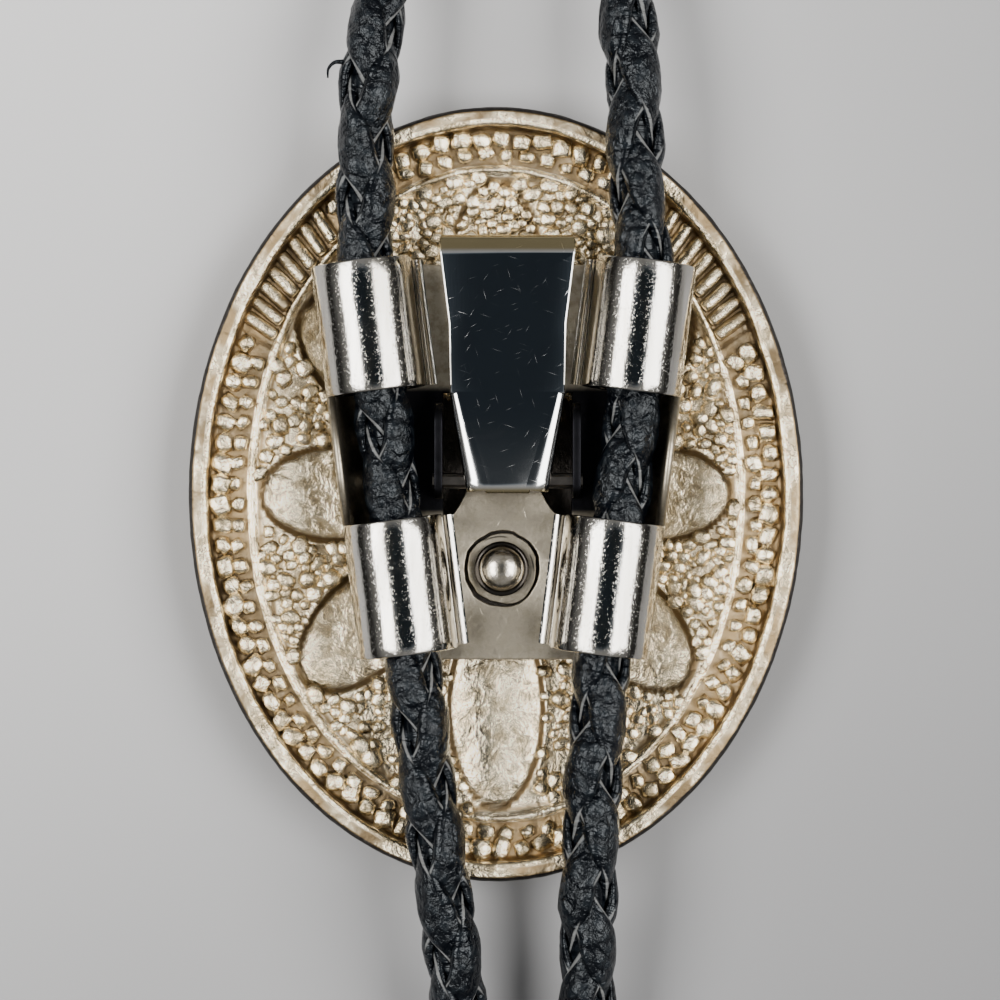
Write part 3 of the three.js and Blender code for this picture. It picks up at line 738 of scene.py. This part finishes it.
def pebble_share(x, y):
    """How thickly the pebbles lie, from 0 to 1."""
    top = math.exp(-(max(0.0, abs(x) - 10) / 4) ** 2) * (1 if y > 11 else 0)
    low = math.exp(-((abs(x) - 15.5) / 6) ** 2 - ((y + 13) / 8.5) ** 2)
    rightwards = 0.75 if x > 12 and abs(y) < 18 else 0
    return max(top, low, rightwards, 0.12)


dice = np.random.default_rng(11)
angles = dice.uniform(-math.pi, math.pi, 14000)
radii = field_radius * np.sqrt(dice.uniform(0.12, 1, 14000)) - 0.1
reach = to_oval(radii, angles)
spots = np.stack([reach * np.cos(angles), reach * np.sin(angles)], axis=1)
distance, which = petal_edge(spots[:, 0], spots[:, 1])
in_top_petal = (which == 2) & (distance < -0.35)
under_clip = np.hypot(spots[:, 0] - 0.45, spots[:, 1] + 5.9) < 4.2
under_clip |= (np.abs(spots[:, 0] - 0.9) < 5.9) & (spots[:, 1] > -2.6) & (spots[:, 1] < 8)
wanted = ((distance > 0.25) | in_top_petal) & ~under_clip
blocks = []
laid = np.zeros((0, 3))
for (x, y), radius, sunk, keep in zip(spots, radii, in_top_petal, wanted):
    size = chance.uniform(0.42, 0.82)
    if not keep or chance.random() > pebble_share(x, y) or len(laid) > 1150:
        continue
    if np.any(np.hypot(laid[:, 0] - x, laid[:, 1] - y) < 0.66 * (size + laid[:, 2])):
        continue
    laid = np.vstack([laid, (x, y, size)])
    halves = [size * chance.uniform(*spread) for spread in ((0.9, 1.3), (0.8, 1.1), (0.6, 0.9))]
    height = back_at(radius) - (0.35 if sunk else 0.0)
    blocks.append((x, y, height, halves, chance.uniform(0, math.pi), 1))
cast_piece(heap("nugget_ground", blocks, 0.85))

# Boss. A short round post in the middle of the casting's back, which the clip is riveted to. It is painted
# near black all over, as painted shade under the clip's web.
rivet_low, rivet_high = (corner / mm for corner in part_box("rivet"))
rivet_middle = (rivet_low + rivet_high) / 2
boss_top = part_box("clip_base")[0].z / mm - 0.3
form = spun([
    (1.8, boss_top - 1.4), (1.8, boss_top - 0.1), (1.9, boss_top), (3.5, boss_top), (3.68, boss_top - 0.06),
    (3.75, boss_top - 0.25), (3.95, boss_top - 1.5), (4.4, boss_top - 2.2), (0.0, boss_top - 2.2),
    (0.0, boss_top - 1.4), (1.8, boss_top - 1.4),
], 48)
bmesh.ops.translate(form, vec=(rivet_middle.x * mm, rivet_middle.y * mm, 0), verts=form.verts)
# Painted shade: a recess value of 1.5 turns the whole boss near black.
recess_layer = float_layer(form, "recess")
for vertex in form.verts:
    vertex[recess_layer] = 1.5
cast_piece(finished("clip_boss", form))


# Clip base. One stamping of nickel-plated sheet, 0.65 mm thick: a flat web with a window for the lever,
# and its two long edges rolled into a tube, an open trough and a tube again for the cord.
# It is held to the medallion's boss by the rivet.
sheet = 0.65
clip_middle = 0.6
clip_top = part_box("clip_base")[1].y / mm
plate_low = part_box("clip_base")[0].z / mm
clip_length = 30.5
tube_radius = 3.9
tube_spacing = 22.3
tube_lean = math.radians(7)
upper_tube = 10.2
lower_tube = 10.5
column_length = clip_length / math.cos(tube_lean)
window_low = clip_top - clip_length + lower_tube * math.cos(tube_lean)
window_high = clip_top - upper_tube * math.cos(tube_lean)


def down_column(side):
    """From a tube's own place, its axis along -Y from the upper mouth, to its place on the clip."""
    mouth = Vector((clip_middle + side * tube_spacing / 2, clip_top, plate_low + tube_radius)) * mm
    return Matrix.Translation(mouth) @ Matrix.Rotation(-side * tube_lean, 4, "Z")


def stamped(name, outlines, thickness, rounding):
    """A flat stamping from outlines in mm, the first its outside and the others holes, with round edges."""
    curve = bpy.data.curves.new(name, "CURVE")
    curve.dimensions = "2D"
    curve.fill_mode = "BOTH"
    curve.extrude = (thickness / 2 - rounding) * mm
    curve.bevel_depth = rounding * mm
    curve.bevel_resolution = 2
    curve.offset = -rounding * mm
    for outline in outlines:
        spline = curve.splines.new("POLY")
        spline.points.add(len(outline) - 1)
        spline.points.foreach_set("co", [part for x, y in outline for part in (x * mm, y * mm, 0, 1)])
        spline.use_cyclic_u = True
    holder = bpy.data.objects.new(name, curve)
    bpy.context.scene.collection.objects.link(holder)
    flat = bpy.data.meshes.new_from_object(holder.evaluated_get(bpy.context.evaluated_depsgraph_get()))
    bpy.data.objects.remove(holder)
    form = bmesh.new()
    form.from_mesh(flat)
    bmesh.ops.remove_doubles(form, verts=form.verts, dist=1e-3 * mm)
    return form


def join_in(form, other):
    """Adds a second mesh in the making to the first."""
    mesh = bpy.data.meshes.new("part")
    other.to_mesh(mesh)
    other.free()
    form.from_mesh(mesh)
    bpy.data.meshes.remove(mesh)


def half_at(y):
    return tube_spacing / 2 - (clip_top - y) * math.tan(tube_lean)


def quadratic(start, control, end, steps=8):
    """Points of a curve from start to end that leaves towards control."""
    for i in range(1, steps + 1):
        t = i / steps
        shares = ((1 - t) ** 2, 2 * t * (1 - t), t * t)
        yield tuple(np.dot(shares, parts) for parts in zip(start, control, end))


ear_inner = 5.05
lever_middle = clip_middle + 0.3
tongue_half = 2.9
tongue_top = window_low + 2.4
plate_bottom = clip_top - clip_length - 0.6
margin = 3.0
outside = [
    (clip_middle - half_at(clip_top) - margin + 0.5, clip_top),
    (clip_middle - half_at(clip_top) - margin + 0.1, clip_top - 0.4),
    (clip_middle - half_at(plate_bottom) - margin, plate_bottom + 0.3),
    (clip_middle - half_at(plate_bottom) - margin + 0.3, plate_bottom),
    (clip_middle + half_at(plate_bottom) + margin - 0.3, plate_bottom),
    (clip_middle + half_at(plate_bottom) + margin, plate_bottom + 0.3),
    (clip_middle + half_at(clip_top) + margin - 0.1, clip_top - 0.4),
    (clip_middle + half_at(clip_top) + margin - 0.5, clip_top),
]
window_left = lever_middle - ear_inner
window_right = lever_middle + ear_inner
window = [
    (window_left, window_high), (window_left, window_low),
    *quadratic(
        (window_left, window_low), (clip_middle - tongue_half * 1.32, window_low),
        (clip_middle - tongue_half, tongue_top),
    ),
    (clip_middle + tongue_half, tongue_top),
    *quadratic(
        (clip_middle + tongue_half, tongue_top), (clip_middle + tongue_half * 1.32, window_low),
        (window_right, window_low),
    ),
    (window_right, window_high),
]
torn_hole = []
washer = []
for i in range(40):
    turn = i / 40 * 2 * math.pi
    ragged = 2.98 + 0.16 * noise.noise(Vector((math.cos(turn) * 1.7, math.sin(turn) * 1.7, 3.3)))
    ragged += 0.10 * noise.noise(Vector((math.cos(turn) * 5, math.sin(turn) * 5, 8.1)))
    torn_hole.append((rivet_middle.x + ragged * math.cos(turn), rivet_middle.y + ragged * math.sin(turn)))
    inner = ragged - 0.15 - 0.20 * max(0, math.cos(turn - 3.8)) - 0.05 * math.cos(3 * turn)
    washer.append((
        rivet_middle.x + inner * math.cos(turn) - 0.04, rivet_middle.y + inner * math.sin(turn) - 0.04,
    ))
shank_hole = [
    (rivet_middle.x + 1.8 * math.cos(a), rivet_middle.y + 1.8 * math.sin(a))
    for a in (i / 24 * 2 * math.pi for i in range(24))
]
form = stamped("web", [outside, window, torn_hole], sheet, 0.13)
punched = stamped("punched", [washer, shank_hole], sheet - 0.1, 0.1)
bmesh.ops.rotate(
    punched, cent=(rivet_middle.x * mm, rivet_middle.y * mm, 0),
    matrix=Matrix.Rotation(0.035, 3, (0.6, -0.8, 0)), verts=punched.verts,
)
join_in(form, punched)
bmesh.ops.translate(form, vec=(0, 0, (plate_low + sheet / 2) * mm), verts=form.verts)
web = finished("clip_web", form, sharp_from=25)


def rolled_tube(length, start):
    """A rolled tube along -Y from a start, with rounded lips."""
    inner = tube_radius - sheet
    lip = 0.16
    wall = [
        (inner, -lip), (inner + 0.05, -0.05), (inner + lip, 0), (tube_radius - lip, 0),
        (tube_radius - 0.05, -0.05), (tube_radius, -lip),
    ]
    wall += [(tube_radius, -length * share) for share in (0.15, 0.3, 0.45, 0.6, 0.75, 0.9)]
    wall += [(radius, -length - height) for radius, height in reversed(wall[:6])]
    wall += [wall[0]]
    form = bmesh.new()
    verts = [form.verts.new((radius * mm, 0, height * mm)) for radius, height in wall[:-1]]
    edges = [form.edges.new((verts[i - 1], verts[i])) for i in range(len(verts))]
    bmesh.ops.spin(
        form, geom=verts + edges, cent=(0, 0, 0), axis=(0, 0, 1), dvec=(0, 0, 0),
        angle=2 * math.pi, steps=96, use_merge=True, use_duplicate=False,
    )
    for vertex in form.verts:
        vertex.co.x += 0.02 * mm * noise.noise(vertex.co / (3.5 * mm))
        vertex.co.y += 0.05 * mm * noise.noise(vertex.co / (4.5 * mm) + Vector((0, 0, 9)))
    bmesh.ops.rotate(form, cent=(0, 0, 0), matrix=Matrix.Rotation(-math.pi / 2, 3, "X"), verts=form.verts)
    bmesh.ops.translate(form, vec=(0, -start * mm, 0), verts=form.verts)
    return form


def extruded(form, face):
    """Extrudes a section and gives its far end's points."""
    made = bmesh.ops.extrude_face_region(form, geom=[face])["geom"]
    return [item for item in made if isinstance(item, bmesh.types.BMVert)]


def trough(side):
    """The sheet between two tubes: its outer side still stands, round from the web to above the axis."""
    inner = tube_radius - sheet
    turns = np.linspace(math.radians(-96), math.radians(8), 22)
    outline = [(tube_radius * math.cos(t), tube_radius * math.sin(t)) for t in turns]
    middle = tube_radius - sheet / 2
    end = turns[-1]
    for a in np.linspace(0.25, math.pi - 0.25, 5) + end:
        outline.append((
            middle * math.cos(end) + 0.31 * math.cos(a), middle * math.sin(end) + 0.31 * math.sin(a),
        ))
    outline += [(inner * math.cos(t), inner * math.sin(t)) for t in reversed(turns)]
    form = bmesh.new()
    verts = [form.verts.new((side * x * mm, 0, z * mm)) for x, z in outline]
    face = form.faces.new(verts)
    length = column_length - upper_tube - lower_tube
    far_end = extruded(form, face)
    bmesh.ops.translate(form, vec=(0, -length * mm, 0), verts=far_end)
    bmesh.ops.translate(form, vec=(0, -upper_tube * mm, 0), verts=form.verts)
    return form


def rise(side, length, start):
    """The bend by which the sheet of the web rises into a tube's inner side, along the whole tube."""
    turns = np.linspace(-math.pi / 2, -math.pi, 9)
    outline = [(4.72 + 0.84 * math.cos(t), sheet + 0.84 + 0.84 * math.sin(t)) for t in turns]
    outline += [(3.88, tube_radius), (3.5, tube_radius), (3.15, 1.6), (3.6, 0.3), (4.72, 0.3)]
    form = bmesh.new()
    face = form.faces.new([form.verts.new((-side * x * mm, 0, (z - tube_radius) * mm)) for x, z in outline])
    far_end = extruded(form, face)
    bmesh.ops.translate(form, vec=(0, -(length - 0.3) * mm, 0), verts=far_end)
    bmesh.ops.translate(form, vec=(0, -(start + 0.15) * mm, 0), verts=form.verts)
    return form


tube_pieces = []
trough_pieces = []
for side, word in ((-1, "left"), (1, "right")):
    form = rolled_tube(upper_tube, 0)
    join_in(form, rolled_tube(lower_tube, column_length - lower_tube))
    join_in(form, rise(side, upper_tube, 0))
    join_in(form, rise(side, lower_tube, column_length - lower_tube))
    bmesh.ops.transform(form, matrix=down_column(side), verts=form.verts)
    tube_pieces.append(finished("cord_tubes_" + word, form, sharp_from=40))
    form = trough(side)
    bmesh.ops.transform(form, matrix=down_column(side), verts=form.verts)
    trough_pieces.append(finished("cord_trough_" + word, form))

pin_low, pin_high = (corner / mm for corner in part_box("hinge_pin"))
pin_middle = (pin_low + pin_high) / 2
pin_hole_radius = 0.9
stood = Matrix(((0, 0, 1, 0), (1, 0, 0, 0), (0, 1, 0, 0), (0, 0, 0, 1)))
form = bmesh.new()
for side in (-1, 1):
    low = pin_middle.y - 1.4
    high = pin_middle.y + 6.1
    top = pin_middle.z + 1.4
    bottom = plate_low + 0.1
    outline = [(low, bottom), (high, bottom), (high, top - 1.6)]
    outline += [(high - 1.6 + 1.6 * math.sin(a), top - 1.6 + 1.6 * math.cos(a)) for a in (1.2, 0.8, 0.4, 0)]
    outline += [
        (low + 1.2 - 1.2 * math.sin(a), top - 1.2 + 1.2 * math.cos(a)) for a in (0, 0.4, 0.8, 1.2, 1.57)
    ]
    hole = [
        (pin_middle.y + pin_hole_radius * math.cos(a), pin_middle.z + pin_hole_radius * math.sin(a))
        for a in np.linspace(0, 2 * math.pi, 24, endpoint=False)
    ]
    ear = stamped("ear", [outline, hole], sheet, 0.08)
    bmesh.ops.transform(ear, matrix=stood, verts=ear.verts)
    out = lever_middle + side * (ear_inner + sheet / 2)
    bmesh.ops.translate(ear, vec=(out * mm, 0, 0), verts=ear.verts)
    join_in(form, ear)
ears = finished("clip_ears", form, sharp_from=25)

nickel, tree, shader = new_material("nickel_plate", metallic=1.0)
lines, haze, where = scratched(tree, 16000)
mottle = grain(tree, where, 900, 4, 0.6)
tree.links.new(blend_of(
    tree, eased(tree, haze, 0.35, 0.7), (0.52, 0.50, 0.465, 1), (0.38, 0.36, 0.32, 1),
), shader.inputs["Base Color"])
cloudy = sum_of(tree, "MULTIPLY_ADD", mottle, 0.5, haze)
tree.links.new(sum_of(
    tree, "MULTIPLY_ADD", lines, 0.12, eased(tree, cloudy, 0.55, 1.0, 0.06, 0.14),
), shader.inputs["Roughness"])
flecks = eased(tree, grain(tree, where, 4600, 3, 0.6), 0.5, 0.85)
tree.links.new(shader_node(tree, "ShaderNodeBump", {
    "Height": sum_of(tree, "MULTIPLY_ADD", flecks, 0.5, haze), "Distance": 0.024 * mm, "Strength": 0.75,
}).outputs[0], shader.inputs["Normal"])

satin, tree, shader = new_material("satin_plate", metallic=1.0)
lines, haze, where = scratched(tree, 12000)
mottle = grain(tree, where, 1500, 5, 0.65)
place = shader_node(tree, "ShaderNodeSeparateXYZ", {0: where})
off_middle = sum_of(tree, "ABSOLUTE", sum_of(tree, "SUBTRACT", place.outputs["X"], lever_middle * mm))
off_pin = sum_of(tree, "ABSOLUTE", sum_of(tree, "SUBTRACT", place.outputs["Y"], (pin_middle.y + 2.4) * mm))
# Painted shade: the web and troughs beside the lever, between its flank and the tubes, are painted near
# black. The thin dark crack line round the rivet is painted with them.
beside = sum_of(
    tree, "MULTIPLY", eased(tree, off_middle, 4.2 * mm, 4.7 * mm),
    eased(tree, off_middle, 10.4 * mm, 11.6 * mm, 1.0, 0.0),
)
shade_and_crack = sum_of(tree, "MULTIPLY", beside, eased(tree, off_pin, 4.6 * mm, 5.3 * mm, 1.0, 0.0))
round_rivet = shader_node(tree, "ShaderNodeVectorMath", {
    0: where, 1: ((rivet_middle.x - 0.12) * mm, (rivet_middle.y - 0.10) * mm, (plate_low + sheet) * mm),
}, operation="DISTANCE").outputs["Value"]
off_groove = sum_of(tree, "ABSOLUTE", sum_of(tree, "SUBTRACT", round_rivet, 2.62 * mm))
groove = sum_of(
    tree, "MULTIPLY", eased(tree, off_groove, 0.03 * mm, 0.10 * mm, 0.85, 0.0),
    eased(tree, grain(tree, where, 420, 2), 0.44, 0.56),
)
shade_and_crack = sum_of(tree, "MAXIMUM", shade_and_crack, groove)
plain = blend_of(tree, eased(tree, mottle, 0.4, 0.65), (0.43, 0.38, 0.295, 1), (0.30, 0.265, 0.20, 1))
tree.links.new(blend_of(tree, shade_and_crack, plain, (0.012, 0.012, 0.014, 1)), shader.inputs["Base Color"])
tree.links.new(sum_of(tree, "MULTIPLY_ADD", mottle, 0.25, 0.24), shader.inputs["Roughness"])
tree.links.new(shader_node(tree, "ShaderNodeBump", {
    "Height": sum_of(tree, "MULTIPLY_ADD", lines, -0.2, mottle), "Distance": 0.035 * mm, "Strength": 0.7,
}).outputs[0], shader.inputs["Normal"])

for pieces, finish in (((web, ears, *trough_pieces), satin), (tube_pieces, nickel)):
    for piece in pieces:
        piece.data.materials.append(finish)
        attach(piece, "slide")
        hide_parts("clip_base")

# Hinge pin. A plain steel pin through the ears and the lever's flanges. Its CAD solid has the right shape.
# Its steel is painted near black, as painted shade where it lies between the ears under the lever.
pin_painted_shade, tree, shader = new_material("pin_steel_painted_shade", metallic=1.0, roughness=0.3)
where = shader_node(tree, "ShaderNodeTexCoord").outputs["Object"]
tree.links.new(blend_of(
    tree, grain(tree, where, 1500, 3), (0.07, 0.065, 0.06, 1), (0.13, 0.12, 0.11, 1),
), shader.inputs["Base Color"])
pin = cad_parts["hinge_pin"]
pin.data.materials.clear()
pin.data.materials.append(pin_painted_shade)

# Rivet. A bright domed head on a flat collar, upset over the web round its shank. The collar and the foot of
# the dome are painted near black, a painted shadow ring round the head.
head_low = plate_low + sheet + 0.3
form = spun([
    (0.0, rivet_low.z), (1.5, rivet_low.z), (1.5, head_low), (2.05, head_low), (2.14, head_low + 0.06),
    (2.16, head_low + 0.16), (2.08, head_low + 0.26), (1.95, head_low + 0.3), (1.84, head_low + 0.32),
    *(
        (1.78 * math.cos(a), head_low + 0.36 + 1.22 * math.sin(a))
        for a in np.linspace(0.05, math.pi / 2 - 0.1, 12)
    ),
    (0.0, head_low + 1.585),
], 64)
bmesh.ops.translate(form, vec=(rivet_middle.x * mm, rivet_middle.y * mm, 0), verts=form.verts)
rivet = finished("domed_rivet", form)
burnished, tree, shader = new_material("burnished_rivet", metallic=1.0)
where = shader_node(tree, "ShaderNodeTexCoord").outputs["Object"]
mottle = grain(tree, where, 1800, 4, 0.6)
head = blend_of(tree, eased(tree, mottle, 0.4, 0.65), (0.60, 0.55, 0.47, 1), (0.42, 0.38, 0.30, 1))
# Painted shadow: the head fades to near black within 0.75 mm of its foot.
from_foot = sum_of(
    tree, "SUBTRACT", shader_node(tree, "ShaderNodeSeparateXYZ", {0: where}).outputs["Z"], head_low * mm,
)
tree.links.new(blend_of(
    tree, eased(tree, from_foot, 0.35 * mm, 0.75 * mm, 1.0, 0.0), head, (0.05, 0.045, 0.04, 1),
), shader.inputs["Base Color"])
tree.links.new(sum_of(tree, "MULTIPLY_ADD", mottle, 0.16, 0.12), shader.inputs["Roughness"])
tree.links.new(shader_node(tree, "ShaderNodeBump", {
    "Height": mottle, "Distance": 0.04 * mm, "Strength": 0.6,
}).outputs[0], shader.inputs["Normal"])
rivet.data.materials.append(burnished)
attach(rivet, "slide")
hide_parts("rivet")

# Lever. A polished plate that swings on the hinge pin and jams the cord when it lies flat.
# Its upper end is a bent-up lip for the thumb, its heel is rolled down, and two flanges take the pin.
lever_thickness = 0.8
lever_under = pin_middle.z + 1.4
lever_heel = pin_middle.y - 0.85
lever_top = lever_heel + 18.6
lip_bend = math.radians(24)
bend_width = 1.5
bend_drop = 0.8
bend_taper = 0.45
flange_length = 7.6
sides = [
    (3.2 - bend_width, lever_heel), (4.42 - bend_taper * bend_width, lever_heel + flange_length - 0.05),
    (4.42, lever_heel + flange_length), (4.55, lever_top - 5.6),
    (5.25, lever_top), (5.25, lever_top + 1.1), (5.1, lever_top + 1.28),
]
outline = [(lever_middle + x, y) for x, y in sides] + [(lever_middle - x, y) for x, y in reversed(sides)]
form = stamped("lever", [outline], lever_thickness, 0.16)
spread = (9.1 * 0.98 - 6.4) / 2
flange_places = []
for side in (-1, 1):
    leaned = Matrix.Rotation(-side * math.atan2(spread, flange_length), 4, "Z")
    corner = Vector((lever_middle + side * 3.2, lever_heel, 0)) * mm
    flange_places.append(Matrix.Translation(corner) @ leaned)
    turns = np.linspace(0, math.pi / 2, 14)
    top = lever_thickness / 2
    section = [(bend_width * (1 - math.cos(t)), top - bend_drop * (1 - math.sin(t))) for t in turns]
    section[-1] = (bend_width, top + 0.004)
    section += [(bend_width + 0.35, top + 0.004), (bend_width + 0.35, top - sheet)]
    section += [
        (
            bend_width - (bend_width - sheet) * math.sin(t),
            top - bend_drop + (bend_drop - sheet) * math.cos(t),
        )
        for t in turns
    ]
    section += [(sheet, top - bend_drop - 0.5), (0, top - bend_drop - 0.5)]
    rounded = bmesh.new()
    face = rounded.faces.new([rounded.verts.new((-side * x * mm, 0.02 * mm, z * mm)) for x, z in section])
    upper_end = extruded(rounded, face)
    bmesh.ops.scale(rounded, vec=(bend_taper, 1, 1), verts=upper_end)
    bmesh.ops.translate(rounded, vec=(0, math.hypot(flange_length, spread) * mm, 0), verts=upper_end)
    bmesh.ops.transform(rounded, matrix=flange_places[-1], verts=rounded.verts)
    join_in(form, rounded)
lip_rows = np.linspace(lever_top - 0.3, lever_top + 0.3, 6)
heel_rows = np.linspace(lever_heel + 0.15, lever_heel + 0.9, 5)
for height in (*lip_rows, *heel_rows):
    bmesh.ops.bisect_plane(
        form, geom=form.verts[:] + form.edges[:] + form.faces[:], dist=1e-4 * mm,
        plane_co=(0, height * mm, 0), plane_no=(0, 1, 0),
    )


def bend(vertex, start, length, angle, way):
    """Turns what lies past a line up or down, over a short round bend.
    The way is 1 where past means further up in y, and -1 where it means further down."""
    past = way * (vertex.co.y / mm - start)
    if past <= 0:
        return
    share = min(1.0, past / length)
    turned = angle * share
    radius = length / abs(angle)
    sign = 1 if angle > 0 else -1
    height = vertex.co.z / mm
    reach = radius * math.sin(abs(turned)) + max(0.0, past - length) * math.cos(angle)
    rise = sign * (radius * (1 - math.cos(turned)) + max(0.0, past - length) * math.sin(abs(angle)))
    vertex.co.y = (start + way * (reach - height * math.sin(turned))) * mm
    vertex.co.z = (rise + height * math.cos(turned)) * mm


for vertex in form.verts:
    bend(vertex, lever_top - 0.3, 0.6, lip_bend, 1)
    bend(vertex, lever_heel + 0.75, 0.75, -math.radians(38), -1)
bmesh.ops.translate(form, vec=(0, 0, (lever_under + lever_thickness / 2) * mm), verts=form.verts)
high = lever_under + lever_thickness
for side, onto_side in zip((-1, 1), flange_places):
    drop = pin_middle.z - 1.4
    outline = [(0.35, drop + 0.9), (0.7, drop + 0.3), (1.3, drop), (flange_length - 2.2, drop)]
    outline += [(flange_length - 1.0, drop + 0.5), (flange_length - 0.1, high - bend_drop - 0.2)]
    outline += [(0.1, high - bend_drop - 0.2)]
    hole = [
        (0.85 + pin_hole_radius * math.cos(a), pin_middle.z + pin_hole_radius * math.sin(a))
        for a in np.linspace(0, 2 * math.pi, 24, endpoint=False)
    ]
    flange = stamped("flange", [outline, hole], sheet - 0.04, 0.08)
    bmesh.ops.transform(flange, matrix=stood, verts=flange.verts)
    bmesh.ops.translate(flange, vec=(-side * (sheet / 2 + 0.01) * mm, 0, 0), verts=flange.verts)
    bmesh.ops.transform(flange, matrix=onto_side, verts=flange.verts)
    join_in(form, flange)
lever = finished("locking_lever", form, sharp_from=25)

mirror, tree, shader = new_material("polished_plate", metallic=1.0)
lines, haze, where = scratched(tree, 11000)
smudge = grain(tree, where, 260, 4, 0.6, 0.8)
place = shader_node(tree, "ShaderNodeSeparateXYZ", {0: where})
up_lever = place.outputs["Y"]
steel = blend_of(tree, eased(tree, smudge, 0.45, 0.7), (0.70, 0.70, 0.69, 1), (0.62, 0.62, 0.62, 1))
# Painted reflection: the bent-up lip and the rolled heel are painted a warm tan.
lip_share = eased(tree, up_lever, (lever_top - 0.1) * mm, (lever_top + 0.3) * mm)
heel_share = eased(tree, up_lever, (lever_heel + 0.05) * mm, (lever_heel + 0.45) * mm, 1.0, 0.0)
painted_bend_reflection = sum_of(tree, "MAXIMUM", lip_share, heel_share)
tree.links.new(blend_of(tree, painted_bend_reflection, steel, (0.36, 0.30, 0.17, 1)), shader.inputs["Base Color"])
polish = eased(tree, smudge, 0.45, 0.75, 0.03, 0.07)
handled = eased(tree, up_lever, (lever_heel + 1) * mm, (lever_heel + 9) * mm, 0.10, 0.0)
dull = sum_of(tree, "MULTIPLY_ADD", painted_bend_reflection, 0.12, sum_of(tree, "ADD", polish, handled))
tree.links.new(sum_of(tree, "MULTIPLY_ADD", lines, 0.22, dull), shader.inputs["Roughness"])
tree.links.new(shader_node(tree, "ShaderNodeBump", {
    "Height": sum_of(tree, "MULTIPLY_ADD", lines, -0.4, haze), "Distance": 0.010 * mm, "Strength": 0.5,
}).outputs[0], shader.inputs["Normal"])
lever.data.materials.append(mirror)
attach(lever, "lever")
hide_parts("clip_lever")

# Floor. A plain pale surface, wider than any view of the tie, with a painted pool of light: pale at the
# upper left, darkening to grey further out.
form = bmesh.new()
bmesh.ops.create_grid(form, x_segments=1, y_segments=1, size=3.0)
bmesh.ops.translate(form, vec=(0, 0, -0.02 * mm), verts=form.verts)
floor = finished("floor", form, sharp_from=25)
paper, tree, shader = new_material("pale_floor", roughness=0.75)
where = shader_node(tree, "ShaderNodeTexCoord").outputs["Object"]
off_pool = shader_node(tree, "ShaderNodeVectorMath", {
    0: where, 1: (-60 * mm, 60 * mm, 0),
}, operation="DISTANCE").outputs["Value"]
painted_light_pool = sum_of(tree, "MULTIPLY_ADD", grain(tree, where, 12, 2), 30 * mm, off_pool)
tree.links.new(blend_of(
    tree, eased(tree, painted_light_pool, 0.0, 190 * mm), (0.65, 0.645, 0.65, 1), (0.17, 0.17, 0.175, 1),
), shader.inputs["Base Color"])
floor.data.materials.append(paper)

# Light. Two wide soft boxes, left and right, low light from all round, and a dark ceiling straight above,
# which the flat polished metal mirrors.
world = bpy.data.worlds.new("studio")
bpy.context.scene.world = world
world.use_nodes = True
tree = world.node_tree
towards = shader_node(tree, "ShaderNodeTexCoord").outputs["Generated"]
parts = shader_node(tree, "ShaderNodeSeparateXYZ", {0: towards})
sideways = sum_of(tree, "ARCTAN2", parts.outputs["X"], parts.outputs["Z"])
lengthways = sum_of(tree, "ARCTAN2", parts.outputs["Y"], parts.outputs["Z"])
height = parts.outputs["Z"]
overhead = eased(tree, height, 0.90, 0.99)
upward = eased(tree, overhead, 0.0, 1.0, 0.34, 0.028)
room = sum_of(tree, "MULTIPLY", upward, eased(tree, height, 0.15, 0.6, 0.10, 1.0))
total = room
for low, high, strength in ((-52, -25, 11.5), (23, 61, 9.5)):
    inside = sum_of(
        tree, "MULTIPLY",
        eased(tree, sideways, math.radians(low - 3), math.radians(low + 3)),
        eased(tree, sideways, math.radians(high - 2), math.radians(high + 2), 1.0, 0.0),
    )
    long_way = eased(tree, sum_of(tree, "ABSOLUTE", lengthways), 0.38, 0.55, 1.0, 0.0)
    box = sum_of(tree, "MULTIPLY", inside, long_way)
    total = sum_of(tree, "MULTIPLY_ADD", box, strength, total)
background = tree.nodes["Background"]
tree.links.new(
    blend_of(tree, overhead, (1.0, 0.99, 0.97, 1), (0.66, 0.88, 1.12, 1)), background.inputs["Color"],
)
seen = shader_node(tree, "ShaderNodeLightPath").outputs["Is Camera Ray"]
strength = shader_node(tree, "ShaderNodeMix", {0: seen, 2: total, 3: 0.8}).outputs[0]
tree.links.new(strength, background.inputs["Strength"])
